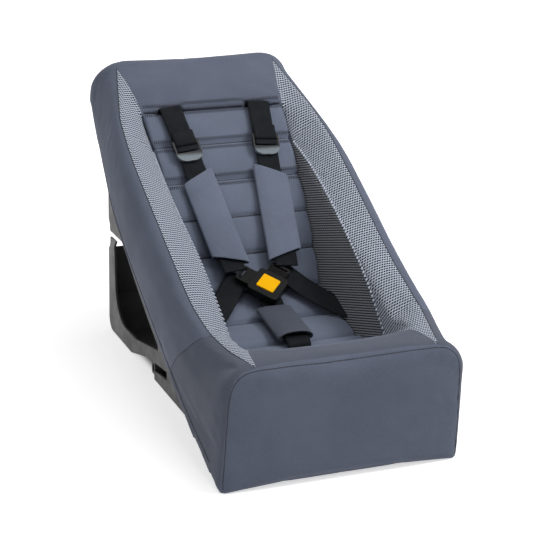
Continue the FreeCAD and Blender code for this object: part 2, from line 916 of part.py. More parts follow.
def stand_side(name, side):
    """Side wall of the stand with the belt path and a low window for a tie-down strap."""
    wall = size.stand_wall
    offset = side * (size.stand_width - wall) / 2
    body = plate(f"stand_side_{name}", "YZ_Plane", stand_outline(), wall, offset=offset)
    cutter = wall + 2 * size.cut_over
    pocket(body, "YZ_Plane", belt_window(), cutter, offset)
    sill = size.notch_height * 0.6
    window_end = size.notch_front_reach - wall
    pocket(body, "YZ_Plane", side_view(
        (size.low_window_front_reach, sill + 2 * wall),
        (size.low_window_front_reach, sill + 6 * wall),
        (window_end, sill + 4 * wall),
        (window_end, sill)), cutter, offset)
    return body


def tie_down_loop(name, side):
    """Small ring under the stand's notch."""
    gap = size.soft_gap
    rim = size.loop_rim
    left = size.notch_front_reach + 2 * gap
    right = notch_rear_reach - rim
    top = size.notch_height - gap
    low = size.loop_clearance
    body = new_body(f"tie_down_loop_{name}")
    sketch = sketch_on(body, "YZ_Plane", side * (size.stand_width / 2 - size.loop_width))
    draw(sketch, side_view((left, low), (right, low), (right, top), (left, top)))
    draw(sketch, side_view((left + rim, low + rim), (right - rim, low + rim), (right - rim, top - rim),
                           (left + rim, top - rim)))
    extrude(body, sketch, size.loop_width)
    outer = [(left, low), (right, low)]

    def at_outer_corner(edge):
        spot = middle(edge)
        return any(abs(spot.y - number(front + y)) + abs(spot.z - number(z)) < 0.1 for y, z in outer)

    round_edges(body, rim * 0.8, at_outer_corner)
    return body


def stand_screws():
    """Screws that hold the stand to the pan, heads inside the stand."""
    screws = []
    for index, frame in enumerate(screw_frames(), start=1):
        seat = -size.screw_head_height - size.sliding_gap
        shank = cylinder(f"screw_shank_{index}", size.screw_diameter / 2,
                         size.screw_head_height + size.stand_wall + size.pan_wall, lifted(frame, seat))
        head = cylinder(f"screw_head_{index}", size.screw_head_diameter / 2, size.screw_head_height,
                        lifted(frame, seat))
        screws.append(boolean("Fuse", f"screw_{index}", shank, head))
    group = doc.addObject("Part::Compound", "stand_screws")
    group.Label = "stand_screws"
    group.Links = screws
    doc.recompute()
    return group


def ribbon(label, path, placement, start_plane, start_offset, across):
    """Webbing swept along a path in the body's YZ plane."""
    body = new_body(label)
    spine = sketch_on(body, "YZ_Plane")
    draw(spine, path, closed=False)
    section = sketch_on(body, start_plane, start_offset)
    half_width = size.webbing_width / 2
    half_thickness = size.webbing_thickness / 2
    draw(section, [(-half_width, across - half_thickness), (half_width, across - half_thickness),
                   (half_width, across + half_thickness), (-half_width, across + half_thickness)])
    doc.recompute()
    pipe = body.newObject("PartDesign::AdditivePipe", f"{label}_pipe")
    pipe.Profile = section
    pipe.Spine = (spine, [f"Edge{index + 1}" for index in range(len(path) - 1)])
    pipe.Transition = "Right corner"
    doc.recompute()
    body.Placement = placement
    return body


wrap = size.bar_radius + size.sliding_gap + size.webbing_thickness / 2
lift = size.webbing_lift
bar_level = lift + wrap
first_bar = -size.bar_reach
second_bar = first_bar - size.bar_spacing

# depth below the shoulder slot at which the strap comes out under the pan's plate
plate_depth = ((slot[1] - pan_plate_underside(slot[0]))
               / (cosine(size.back_angle) + pan_plate_slope * sine(size.back_angle)))
anchor_level = -(plate_depth + size.anchor_seat)
strap_tail = anchor_level - 3 * size.anchor_thickness


def shoulder_strap_upper(name, side):
    """From the anchor behind the pan, out of the slot and round the adjuster's first bar."""
    bend = 3 * size.webbing_thickness
    path = [(0, strap_tail), (0, lift - bend, bend), (-bend, lift), (first_bar, lift, -wrap),
            (first_bar - wrap, bar_level, -wrap), (first_bar, bar_level + wrap),
            (first_bar + size.bar_spacing * 1.5, bar_level + wrap)]
    return ribbon(f"shoulder_strap_upper_{name}", path, strap_frame(side), "XY_Plane", strap_tail, as_size(0))


def shoulder_strap_lower(name, side):
    """From the adjuster's second bar, under the tab and through the pad to the tongue."""
    fold_end = second_bar - size.strap_fold
    path = [(fold_end, bar_level + wrap), (second_bar, bar_level + wrap, -wrap),
            (second_bar + wrap, bar_level, -wrap), (second_bar, lift), (-size.strap_end, lift)]
    return ribbon(f"shoulder_strap_lower_{name}", path, strap_frame(side), "XZ_Plane", -fold_end,
                  bar_level + wrap)


def strap_adjuster(name, side):
    """Ladder lock: frame with a rounded thumb tab and two round bars."""
    half = size.adjuster_width / 2
    rail = size.adjuster_rail
    thick = size.bar_radius * 2
    top = first_bar + thick
    window_end = second_bar - thick * 1.5
    tab_start = window_end - thick / 2
    tab_end = window_end - size.tab_length
    frame_body = new_body(f"adjuster_frame_{name}")
    sketch = sketch_on(frame_body, "XY_Plane", bar_level)
    draw(sketch, [(-half, top), (half, top), (half, tab_start, -size.tab_length * 1.1), (as_size(0), tab_end,
                  -size.tab_length * 1.1), (-half, tab_start)])
    inner = half - rail
    draw(sketch, [(-inner, first_bar), (inner, first_bar), (inner, window_end), (-inner, window_end)])
    extrude(frame_body, sketch, thick)
    frame_body.Placement = strap_frame(side)
    frame = frame_body
    for order, bar in (("first", first_bar), ("second", second_bar)):
        along_x = FreeCAD.Placement(vector(-(half - rail / 2), bar, bar_level),
                                    FreeCAD.Rotation(FreeCAD.Vector(0, 1, 0), 90))
        rod = cylinder(f"adjuster_bar_{order}_{name}", size.bar_radius, size.adjuster_width - rail,
                       strap_frame(side).multiply(along_x))
        last = order == "second"
        frame = boolean("Fuse", f"strap_adjuster_{name}" if last else f"adjuster_step_{name}", frame, rod)
    return frame


def sleeve(label, corners, length, placement):
    """Padded fabric sleeve with a flat passage for the webbing."""
    body = plate(f"{label}_block", "XY_Plane", corners, size.pad_thickness)
    half = number(size.pad_thickness) / 2

    def on_face(edge):
        return all(abs(abs(vertex.Z) - half) < 0.01 for vertex in edge.Vertexes)

    round_edges(body, size.pad_thickness * 0.36, on_face)
    body.Placement = placement
    passage = box_tool(f"{label}_passage", size.webbing_width + 2 * size.soft_gap, length,
                       size.webbing_thickness + 2 * size.soft_gap, placement)
    return cut(label, body, passage)


def shoulder_pad(name, side):
    half = size.pad_width / 2
    centre = (size.pad_start + size.pad_end) / 2
    long_side = (size.pad_end - size.pad_start) / 2
    short_side = long_side - size.pad_end_slant
    corners = [(-side * half, -long_side), (side * half, -short_side), (side * half, short_side),
               (-side * half, long_side)]
    place = strap_frame(side).multiply(FreeCAD.Placement(vector(0, -centre, lift), FreeCAD.Rotation()))
    return sleeve(f"shoulder_pad_{name}", corners, 2 * size.pad_end, place)


def slide(label, placement):
    """Flat metal slide with a slot, as holds the end of a strap."""
    half = size.anchor_width / 2
    depth = size.anchor_width / 6
    body = new_body(label)
    sketch = sketch_on(body, "XY_Plane")
    draw(sketch, [(-half, -depth), (half, -depth), (half, depth), (-half, depth)])
    slot_half = size.webbing_width / 2 + size.soft_gap
    slot_depth = size.webbing_thickness / 2 + size.soft_gap
    draw(sketch, [(-slot_half, -slot_depth), (slot_half, -slot_depth), (slot_half, slot_depth),
                  (-slot_half, slot_depth)])
    extrude(body, sketch, size.anchor_thickness)
    body.Placement = placement
    return body


def shoulder_anchor(name, side):
    level = anchor_level - size.anchor_thickness / 2
    return slide(f"shoulder_anchor_{name}", lifted(strap_frame(side), level))


# crotch strap, in the middle plane: points as (y, z)
def in_buckle(y, z):
    """Point of the buckle's frame as reach and height."""
    return (size.buckle_reach + y * cosine(size.buckle_tilt) - z * sine(size.buckle_tilt),
            size.buckle_height + y * sine(size.buckle_tilt) + z * cosine(size.buckle_tilt))


buckle_depth = size.buckle_front_thickness + size.buckle_back_thickness
under_buckle = -(buckle_depth + size.soft_gap + size.webbing_thickness / 2)
crotch_top = in_buckle(size.buckle_side * -0.15, under_buckle)
crotch_edge = in_buckle(size.buckle_side * -0.75, under_buckle)
crotch_turn = (crotch_slot_reach + size.crotch_bend, size.crotch_turn_height)
crotch_rise = number(crotch_edge[1] - crotch_turn[1])
crotch_run = number(crotch_edge[0] - crotch_turn[0])
crotch_angle = math.degrees(math.atan2(crotch_rise, crotch_run))
crotch_anchor_front = crotch_slot_reach - size.anchor_width / 6
crotch_anchor_height = pan_underside(crotch_anchor_front) - stand_plate - size.sliding_gap


def crotch_strap():
    bottom = crotch_anchor_height - 3 * size.anchor_thickness
    path = side_view((crotch_slot_reach, bottom),
                     (crotch_slot_reach, size.crotch_turn_height - size.crotch_bend, -size.crotch_bend * 1.2),
                     crotch_turn, crotch_edge, crotch_top)
    return ribbon("crotch_strap", path, FreeCAD.Placement(), "XY_Plane", bottom, front + crotch_slot_reach)


def crotch_pad():
    half = size.crotch_pad_width / 2
    long = size.crotch_pad_length / 2
    spot = vector(0, front + (crotch_edge[0] + crotch_turn[0]) / 2, (crotch_edge[1] + crotch_turn[1]) / 2)
    return sleeve("crotch_pad", [(-half, -long), (half, -long), (half, long), (-half, long)],
                  2 * size.crotch_pad_length, placed(spot, crotch_angle))


def crotch_anchor():
    reach = crotch_slot_reach
    spot = vector(0, front + reach, crotch_anchor_height - size.anchor_thickness)
    return slide("crotch_anchor", placed(spot))


def diamond(half):
    return [(-half, 0), (0, -half), (half, 0), (0, half)]


def buckle_cover(label, thickness, level):
    """Square cover standing on its corner, with rounded corners."""
    half = size.buckle_side / math.sqrt(2)
    body = new_body(label)
    sketch = sketch_on(body, "XY_Plane", level)
    draw(sketch, diamond(half))
    extrude(body, sketch, thickness, symmetric=False)
    round_edges(body, size.buckle_corner, lambda edge: abs(edge.Vertexes[0].Z - edge.Vertexes[-1].Z) > 1)
    body.Placement = buckle_frame
    return body


def tongue_passages():
    """Room in the buckle for the two tongue blades."""
    tools = []
    gap = size.sliding_gap
    depth = size.tongue_blade_length + gap
    reach = size.buckle_side / 2 - depth / 2 + size.cut_over
    for name, side in SIDES:
        spot = tongue_frame(side).multiply(
            FreeCAD.Placement(vector(0, reach, tongue_middle), FreeCAD.Rotation()))
        tools.append(box_tool(f"tongue_passage_{name}", size.tongue_blade_width + 2 * gap,
                              depth + 2 * size.cut_over, size.tongue_blade_thickness + 2 * gap, spot))
    return tools


button_room = (size.button_side / 2 + size.sliding_gap) * math.sqrt(2)
button_floor = -(size.button_depth + size.button_travel + size.button_stop)


def button_well():
    """Square well for the button, through the front cover and into the back cover."""
    well = new_body("button_well")
    sketch = sketch_on(well, "XY_Plane", button_floor)
    draw(sketch, diamond(button_room))
    extrude(well, sketch, size.cut_over - button_floor, symmetric=False)
    well.Placement = buckle_frame
    return well


well = button_well()
passages = tongue_passages()


def buckle_front_cover():
    cover = buckle_cover("front_cover_block", size.buckle_front_thickness, -size.buckle_front_thickness)
    round_edges(cover, size.buckle_edge, lambda edge: all(abs(vertex.Z) < 0.01 for vertex in edge.Vertexes))
    return cut("buckle_front_cover", cover, well, *passages)


def buckle_back_cover():
    cover = buckle_cover("back_cover_block", size.buckle_back_thickness, -buckle_depth)
    return cut("buckle_back_cover", cover, well, *passages)


def release_button():
    """Square push button, proud of the front cover."""
    body = new_body("release_button")
    sketch = sketch_on(body, "XY_Plane", -size.button_depth)
    draw(sketch, diamond(size.button_side / math.sqrt(2)))
    extrude(body, sketch, size.button_depth + size.button_proud, symmetric=False)
    round_edges(body, size.button_corner, lambda edge: abs(edge.Vertexes[0].Z - edge.Vertexes[-1].Z) > 1)
    top = number(size.button_proud)

    def on_top(edge):
        return all(abs(vertex.Z - top) < 0.01 for vertex in edge.Vertexes)

    round_edges(body, size.button_edge, on_top)
    body.Placement = buckle_frame
    return body


def button_spring():
    """Coil of square wire between the button and the floor of its well."""
    half_wire = size.spring_wire / 2
    coil = size.spring_radius
    height = -button_floor - size.button_depth - size.spring_wire - 2 * size.sliding_gap
    helix = doc.addObject("Part::Helix", "spring_path")
    bind(helix, "Radius", coil)
    bind(helix, "Height", height)
    bind(helix, "Pitch", height / 3)
    profile = doc.addObject("Part::RegularPolygon", "spring_section")
    profile.Polygon = 4
    bind(profile, "Circumradius", half_wire)
    profile.Placement = FreeCAD.Placement(vector(coil, 0, 0), FreeCAD.Rotation(FreeCAD.Vector(1, 0, 0), 90))
    sweep = doc.addObject("Part::Sweep", "button_spring")
    sweep.Label = "button_spring"
    sweep.Sections = [profile]
    sweep.Spine = (helix, ["Edge1"])
    sweep.Solid = True
    sweep.Frenet = True
    doc.recompute()
    sweep.Placement = lifted(buckle_frame, button_floor + half_wire + size.sliding_gap)
    return sweep


def buckle_tongue(name, side):
    """Moulded tongue: blade in the buckle, ribbed grip, and a slot for the webbing."""
    half = size.tongue_width / 2
    blade = size.tongue_blade_width / 2
    start = size.buckle_side / 2 + size.sliding_gap
    end = start + size.tongue_length
    grip = plate(f"tongue_grip_{name}", "XY_Plane",
                 [(-half, start), (half, start), (half, end), (-half, end)], size.tongue_thickness,
                 offset=tongue_middle)
    round_edges(grip, size.tongue_corner, lambda edge: abs(edge.Vertexes[0].Z - edge.Vertexes[-1].Z) > 1
                and middle(edge).y > number(start) + 1)
    grooves = sketch_on(grip, "YZ_Plane")
    surface = tongue_middle + size.tongue_thickness / 2
    for step in (0.16, 0.32, 0.48):
        groove = start + size.tongue_length * step
        far = groove + size.groove_width
        low = surface - size.groove_depth
        high = surface + size.cut_over
        draw(grooves, [(groove, low), (far, low), (far, high), (groove, high)])
    extrude(grip, grooves, size.tongue_width + 2 * size.cut_over, "Pocket")
    window = sketch_on(grip, "XY_Plane", tongue_middle)
    slot_start = start + size.tongue_length * 0.66
    slot_end = slot_start + size.tongue_slot
    slot_half = half * 0.75
    draw(window, [(-slot_half, slot_start), (slot_half, slot_start), (slot_half, slot_end),
                  (-slot_half, slot_end)])
    extrude(grip, window, size.tongue_thickness + 2 * size.cut_over, "Pocket")
    grip.Placement = tongue_frame(side)
    tip = start - size.tongue_blade_length
    root_end = start + 2 * size.cut_over
    blade_body = plate(f"tongue_blade_{name}", "XY_Plane",
                       [(-blade, root_end), (blade, root_end), (blade, tip), (-blade, tip)],
                       size.tongue_blade_thickness, offset=tongue_middle)
    blade_body.Placement = tongue_frame(side)
    return boolean("Fuse", f"buckle_tongue_{name}", grip, blade_body)


def hip_strap(name, side):
    """Webbing from under the tongue into the side wall of the tub."""
    frame = hip_frame(side)
    length = (frame.Base - tongue_tail(side)).Length
    reach = length + number(size.hip_slot_depth)
    strap = doc.addObject("Part::Box", f"hip_strap_{name}")
    strap.Label = f"hip_strap_{name}"
    strap.Length = reach
    bind(strap, "Width", size.webbing_width)
    bind(strap, "Height", size.webbing_thickness)
    corner = vector(-length, -size.webbing_width / 2, -size.webbing_thickness / 2)
    strap.Placement = frame.multiply(FreeCAD.Placement(corner, FreeCAD.Rotation()))
    return strap


exported = [padded_tub(), quilted_liner(), seat_pan(), stand_shell(), stand_screws()]
for name, side in SIDES:
    for maker in (stand_side, tie_down_loop, shoulder_strap_upper, shoulder_strap_lower, strap_adjuster,
                  shoulder_pad, shoulder_anchor, buckle_tongue, hip_strap):
        exported.append(maker(name, side))
exported += [crotch_strap(), crotch_pad(), crotch_anchor(), buckle_front_cover(), buckle_back_cover(),
             release_button(), button_spring()]

doc.recompute()
for thing in doc.Objects:
    if "Invalid" in thing.State or "Error" in thing.State:
        raise RuntimeError(f"{thing.Label} did not build")
for thing in exported:
    shape = thing.Shape
    if shape.isNull() or not shape.isValid() or not shape.Solids:
        raise RuntimeError(f"{thing.Label} has no valid solid")
os.makedirs("parts", exist_ok=True)
for thing in exported:
    thing.Shape.exportStep(f"parts/{thing.Label}.step")
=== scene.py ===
import math
import bmesh
import bpy
import numpy as np
from bpy.props import FloatProperty, FloatVectorProperty, PointerProperty
from mathutils import Matrix, Vector
from mathutils.bvhtree import BVHTree


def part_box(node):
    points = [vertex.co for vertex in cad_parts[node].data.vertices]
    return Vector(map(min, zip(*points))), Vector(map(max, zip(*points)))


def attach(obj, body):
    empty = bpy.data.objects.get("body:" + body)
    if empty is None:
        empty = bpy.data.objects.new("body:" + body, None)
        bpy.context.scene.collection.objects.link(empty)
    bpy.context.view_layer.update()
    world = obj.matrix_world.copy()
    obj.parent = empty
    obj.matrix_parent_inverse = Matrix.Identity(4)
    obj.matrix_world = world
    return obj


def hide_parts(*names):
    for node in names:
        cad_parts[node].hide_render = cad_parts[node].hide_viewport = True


bl_info = {
    "name": "Trailer infant seat",
    "version": (1, 0, 0),
    "blender": (4, 5, 0),
    "location": "3D View > Sidebar > Infant seat",
    "description": "Dresses the packed infant seat with fabric, webbing, stitching and plastic",
    "category": "Object",
}

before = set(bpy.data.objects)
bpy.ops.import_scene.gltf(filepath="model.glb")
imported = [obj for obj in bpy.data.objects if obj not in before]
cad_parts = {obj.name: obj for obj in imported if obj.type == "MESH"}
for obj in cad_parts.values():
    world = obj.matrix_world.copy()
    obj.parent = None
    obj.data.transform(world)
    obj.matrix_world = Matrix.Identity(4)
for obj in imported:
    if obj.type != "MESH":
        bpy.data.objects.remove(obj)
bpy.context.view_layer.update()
MM = 0.001
SIDES = (("left", -1), ("right", 1))

# lines of the cover, in millimetres: half width, y and height
APRON_Y = -310.0
OUTER_SEAM = ((112, -304), (125, -256), (133, -215), (136.5, -165), (137, -110), (138, -47), (139, 4),
              (139.5, 64), (138.5, 98), (134.5, 146), (124.5, 189), (112, 240))
INNER_EDGE = ((110, -304), (108, -288), (105, -268), (100, -248), (97, -232), (96, -198), (97, -170),
              (98.8, -138), (100, -104), (100.6, -70), (102.5, -20), (103, 33), (102.5, 60), (100.5, 95),
              (98, 123), (98.5, 145), (100, 175), (104.5, 205), (112, 240))
RIDGE_ENDS = (-196, 123)
SIDE_SEAM = ((132, -219, 164), (147, -212, 159), (155, -195, 143), (157, -164, 118), (157, -134, 92))
APRON_EDGE = ((148, 5), (147, 30), (145.5, 59), (143.5, 95), (140.5, 127), (135.5, 140), (125.5, 148.5),
              (110, 152), (76, 153), (30, 152.5), (0, 152.3))
HEM_RISE = (17.0, 9.0)

# side view of the tub, in millimetres: reach from the apron and height
APRON_LEAN = 16.0
CREST_FRONT = 155.0
CREST_RADIUS = 428.0
CREST_JOIN = (204.9, 207.2)
CREST_SLOPE = 0.5452
BAND_DEPTH = 110.0
KICK_REACH = 450.0
HEAD_BACK = (599.6, 347.1)

# frames of the back, the straps and the buckle
SLOT = Vector((0, 166.6, 345.6)) * MM
BACK_ANGLE = math.radians(44.35)
STRAP_SLANT = math.radians(6)
SLOT_SPACING = 124 * MM
BUCKLE = Vector((0, -48, 161)) * MM
BUCKLE_TILT = math.radians(30)
QUILT_PITCH = 57.0
LUMBAR_ANGLE = math.radians(51)
LUMBAR_LENGTH = 131.0
SEAT_ANGLE = math.radians(8)
SEAT_LENGTH = 158.0
STRAP_LIFT = 8.5 * MM
WEBBING_HALF = 15 * MM
WEBBING_THICKNESS = 1.4 * MM
PAD_HALF = 23 * MM
PAD_THICKNESS = 10 * MM


def placed(origin, tilt, turn=0.0):
    """Frame at origin, tilted about X, then turned in its own plane."""
    return Matrix.Translation(origin) @ Matrix.Rotation(tilt, 4, "X") @ Matrix.Rotation(turn, 4, "Z")


def strap_frame(side):
    """Frame at a shoulder slot: Y up the strap, Z out of the back."""
    shift = Matrix.Translation(Vector((side * SLOT_SPACING / 2, 0, 0)))
    return placed(SLOT, BACK_ANGLE) @ shift @ Matrix.Rotation(-side * STRAP_SLANT, 4, "Z")


def down_slope(start, angle, distance):
    """Point in the middle plane at a distance down a slope, towards the front; millimetres."""
    return (start[0] - math.cos(angle) * distance, start[1] - math.sin(angle) * distance)


def channel_points():
    """Sewn channels of the liner as (y, z, slope) in millimetres, from the strap slots to the front."""
    slot = (SLOT.y / MM, SLOT.z / MM)
    points = [down_slope(slot, BACK_ANGLE, step * QUILT_PITCH) + (BACK_ANGLE,) for step in range(4)]
    knee = points[-1]
    corner = down_slope(knee, LUMBAR_ANGLE, LUMBAR_LENGTH)
    for start, angle, length, shares in ((knee, LUMBAR_ANGLE, LUMBAR_LENGTH, (0.4, 0.8)),
                                         (corner, SEAT_ANGLE, SEAT_LENGTH, (0.2, 0.6))):
        points += [down_slope(start, angle, share * length) + (angle,) for share in shares]
    return points


class SeatFabrics(bpy.types.PropertyGroup):
    cover: FloatVectorProperty(name="Cover", description="Woven cover of tub, apron and head",
                               subtype="COLOR", default=(0.096, 0.110, 0.154), min=0, max=1)
    front: FloatVectorProperty(name="Front", description="Roll and side panels at the front", subtype="COLOR",
                               default=(0.064, 0.072, 0.094), min=0, max=1)
    liner: FloatVectorProperty(name="Liner", description="Quilted liner of back and seat", subtype="COLOR",
                               default=(0.118, 0.138, 0.190), min=0, max=1)
    pads: FloatVectorProperty(name="Pads", description="Sleeves on the harness", subtype="COLOR",
                              default=(0.122, 0.142, 0.196), min=0, max=1)
    mesh_thread: FloatVectorProperty(name="Mesh thread", description="Pale thread of the spacer mesh",
                                     subtype="COLOR", default=(0.43, 0.47, 0.55), min=0, max=1)
    mesh_hole: FloatVectorProperty(name="Mesh hole", description="Dark ground behind the spacer mesh",
                                   subtype="COLOR", default=(0.010, 0.012, 0.017), min=0, max=1)
    wall_thread: FloatVectorProperty(name="Wall thread", description="Ribs of the inner walls",
                                     subtype="COLOR", default=(0.32, 0.33, 0.35), min=0, max=1)
    sewing: FloatVectorProperty(name="Sewing thread", description="Thread of seams and stitches",
                                subtype="COLOR", default=(0.016, 0.018, 0.030), min=0, max=1)
    webbing: FloatVectorProperty(name="Webbing", description="Harness webbing", subtype="COLOR",
                                 default=(0.0045, 0.0060, 0.0076), min=0, max=1)
    weave: FloatProperty(name="Weave pitch", description="Distance between threads of the cover",
                         default=0.0011, min=0.0003, unit="LENGTH")
    mesh_pitch: FloatProperty(name="Mesh pitch", description="Distance between rows of the spacer mesh",
                              default=0.0040, min=0.001, unit="LENGTH")
    rib_pitch: FloatProperty(name="Rib pitch", description="Distance between ribs of the inner walls",
                             default=0.0032, min=0.001, unit="LENGTH")
    puff: FloatProperty(name="Puff", description="Farthest that filling pushes the cover out", default=0.005,
                        min=0, unit="LENGTH")


class SeatSewing(bpy.types.PropertyGroup):
    pitch: FloatProperty(name="Stitch pitch", description="Distance from stitch to stitch", default=0.0025,
                         min=0.0005, unit="LENGTH")
    length: FloatProperty(name="Stitch length", description="Length of one stitch", default=0.0065,
                          min=0.0005, unit="LENGTH")
    thickness: FloatProperty(name="Thread thickness", description="Thickness of the stitching thread",
                             default=0.0012, min=0.0002, unit="LENGTH")
    seam_radius: FloatProperty(name="Seam radius", description="Half thickness of a sewn seam line",
                               default=0.0008, min=0.0002, unit="LENGTH")
    ridge_pitch: FloatProperty(name="Ridge pitch", description="Distance from stitch to stitch on the ridges",
                               default=0.0050, min=0.0005, unit="LENGTH")
    ridge_length: FloatProperty(name="Ridge stitch", description="Length of a stitch on the ridges",
                                default=0.0062, min=0.0005, unit="LENGTH")
    ridge_thickness: FloatProperty(name="Ridge thread", description="Thickness of the thread on the ridges",
                                   default=0.0030, min=0.0002, unit="LENGTH")
    row_offset: FloatProperty(name="Row offset", description="Distance of a stitch row from its seam",
                              default=0.0075, min=0.001, unit="LENGTH")


class SeatPlastics(bpy.types.PropertyGroup):
    shell: FloatVectorProperty(name="Shell", description="Pan and stand", subtype="COLOR",
                               default=(0.030, 0.030, 0.032), min=0, max=1)
    buckle: FloatVectorProperty(name="Buckle", description="Buckle, tongues and slides", subtype="COLOR",
                                default=(0.006, 0.006, 0.0065), min=0, max=1)
    button: FloatVectorProperty(name="Button", description="Release button", subtype="COLOR",
                                default=(0.96, 0.47, 0.001), min=0, max=1)
    steel: FloatVectorProperty(name="Steel", description="Anchors, screws and spring", subtype="COLOR",
                               default=(0.55, 0.55, 0.56), min=0, max=1)


class SeatStage(bpy.types.PropertyGroup):
    lens: FloatProperty(name="Lens", description="Focal length of the camera", default=109.7, min=10)
    camera_at: FloatVectorProperty(name="Camera", description="Place of the camera", subtype="TRANSLATION",
                                   unit="LENGTH", default=(-0.6881, -1.8993, 0.7915))
    looks_along: FloatVectorProperty(name="View", description="Direction the camera looks along",
                                     subtype="DIRECTION", default=(0.3337, 0.8949, -0.2964))
    key_power: FloatProperty(name="Key light", description="Power of the large light above",
                             default=38.0, min=0)
    top_power: FloatProperty(name="Top light", description="Power of the light overhead", default=12.0, min=0)
    left_power: FloatProperty(name="Left light", description="Power of the weak light at the left",
                              default=3.0, min=0)
    fill: FloatProperty(name="Fill", description="Strength of the light from all round", default=0.35, min=0)


def look():
    """Settings of this scene's seat."""
    scene = bpy.context.scene
    return scene.seat_fabrics, scene.seat_sewing, scene.seat_plastics, scene.seat_stage


# small helpers for meshes
def add_object(name, mesh):
    """New object of the scene for a mesh, lamp or camera."""
    piece = bpy.data.objects.new(name, mesh)
    bpy.context.scene.collection.objects.link(piece)
    return piece


def settle(piece):
    """Make the evaluated shape the piece's own mesh and drop its modifiers."""
    graph = bpy.context.evaluated_depsgraph_get()
    mesh = bpy.data.meshes.new_from_object(piece.evaluated_get(graph))
    old = piece.data
    piece.modifiers.clear()
    piece.data = mesh
    bpy.data.meshes.remove(old)
    return piece


def hand_over(piece, nodes=(), body="seat"):
    """Let a finished piece ride on its body and hide the nodes it stands for."""
    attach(piece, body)
    if nodes:
        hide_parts(*nodes)
    return piece


def finish_skin(piece, material, nodes=()):
    """Smooth shading, one material and the hand-over of a finished piece."""
    piece.data.shade_smooth()
    if material:
        dress(piece, material)
    return hand_over(piece, nodes)


def points_of(mesh):
    """Points of a mesh as an array."""
    flat = np.empty(len(mesh.vertices) * 3, np.float32)
    mesh.vertices.foreach_get("co", flat)
    return flat.reshape(-1, 3).astype(float)


def normals_of(mesh):
    """Point normals of a mesh as an array."""
    flat = np.empty(len(mesh.vertices) * 3, np.float32)
    mesh.vertex_normals.foreach_get("vector", flat)
    return flat.reshape(-1, 3).astype(float)


def move_points(mesh, points):
    """Give a mesh new points."""
    mesh.vertices.foreach_set("co", points.astype(np.float32).ravel())
    mesh.update()


def set_values(mesh, name, values):
    """Store one number per vertex for the materials."""
    layer = mesh.attributes.new(name, "FLOAT", "POINT")
    layer.data.foreach_set("value", np.asarray(values, np.float32))


def set_vectors(mesh, name, values):
    """Store one vector per vertex for the materials."""
    layer = mesh.attributes.new(name, "FLOAT_VECTOR", "POINT")
    layer.data.foreach_set("vector", np.asarray(values, np.float32).ravel())


def closed_mesh(name, vertices, faces):
    """Mesh of points and faces, with its faces turned outwards."""
    mesh = bpy.data.meshes.new(name)
    mesh.from_pydata(vertices, [], faces)
    made = bmesh.new()
    made.from_mesh(mesh)
    bmesh.ops.recalc_face_normals(made, faces=made.faces)
    made.to_mesh(mesh)
    made.free()
    return mesh


def tube_faces(rings, around, base=0):
    """Faces of a tube: rings gives the order of its rings of points, base the number of the first point."""
    faces = []
    for row, following in zip(rings, rings[1:]):
        for turn in range(around):
            turned = (turn + 1) % around
            corners = ((row, turn), (row, turned), (following, turned), (following, turn))
            faces.append(tuple(base + ring * around + place for ring, place in corners))
    return faces


def neighbours(path, index):
    """Points before and after a point of a path."""
    return path[max(index - 1, 0)], path[min(index + 1, len(path) - 1)]


def run_frame(path, ups, index):
    """Side and up directions of a band or cord at a point of its path."""
    before, after = neighbours(path, index)
    tangent = (after - before).normalized()
    up = (ups[index] - tangent * ups[index].dot(tangent)).normalized()
    return tangent.cross(up).normalized(), up


def solid_of(node, grow=0.0, keep_side=None):
    """Merged copy of a CAD solid; keep_side takes the part above (1) or below (-1) the strap slots."""
    made = bmesh.new()
    made.from_mesh(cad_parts[node].data)
    bmesh.ops.remove_doubles(made, verts=made.verts, dist=1e-6)
    if keep_side is not None:
        up_the_back = Vector((0, math.cos(BACK_ANGLE), math.sin(BACK_ANGLE)))
        bmesh.ops.bisect_plane(made, geom=made.verts[:] + made.edges[:] + made.faces[:], plane_co=SLOT,
                               plane_no=up_the_back * keep_side, clear_inner=True)
        rim = [edge for edge in made.edges if edge.is_boundary]
        bmesh.ops.holes_fill(made, edges=rim, sides=0)
    made.normal_update()
    if grow:
        for vertex in made.verts:
            vertex.co += vertex.normal * grow
    return made


def voxel_skin(name, solids, voxel, rounds):
    """One closed skin round the solids, with its edges softened."""
    joined = bmesh.new()
    for solid in solids:
        part = bpy.data.meshes.new(name)
        solid.to_mesh(part)
        solid.free()
        joined.from_mesh(part)
        bpy.data.meshes.remove(part)
    mesh = bpy.data.meshes.new(name)
    joined.to_mesh(mesh)
    joined.free()
    piece = add_object(name, mesh)
    remesh = piece.modifiers.new("remesh", "REMESH")
    remesh.mode = "VOXEL"
    remesh.voxel_size = voxel
    soften = piece.modifiers.new("soften", "SMOOTH")
    soften.factor = 0.5
    soften.iterations = rounds
    return settle(piece)


def fill_with_air(piece, held, pressure, cap, frames=16):
    """Puff a closed skin up by cloth simulation; held is 1 where it is sewn down and 0 where it is free."""
    start = points_of(piece.data)
    group = piece.vertex_groups.new(name="sewn")
    for index in np.nonzero(held > 0.01)[0]:
        group.add([int(index)], float(held[index]), "REPLACE")
    cloth = piece.modifiers.new("filling", "CLOTH")
    cloth.settings.quality = 4
    cloth.settings.use_pressure = True
    cloth.settings.uniform_pressure_force = pressure
    cloth.settings.effector_weights.gravity = 0
    cloth.settings.vertex_group_mass = "sewn"
    cloth.collision_settings.use_collision = False
    cloth.point_cache.frame_end = frames
    scene = bpy.context.scene
    for step in range(1, frames + 1):
        scene.frame_set(step)
    settle(piece)
    piece.vertex_groups.clear()
    scene.frame_set(1)
    moved = points_of(piece.data) - start
    length = np.linalg.norm(moved, axis=1, keepdims=True)
    limited = cap * np.tanh(length / cap)
    move_points(piece.data, start + moved * limited / np.maximum(length, 1e-9))
    return piece


def near(values, goal, width):
    """1 at the goal, falling to 0 over the width."""
    return np.exp(-((values - goal) / width) ** 2)


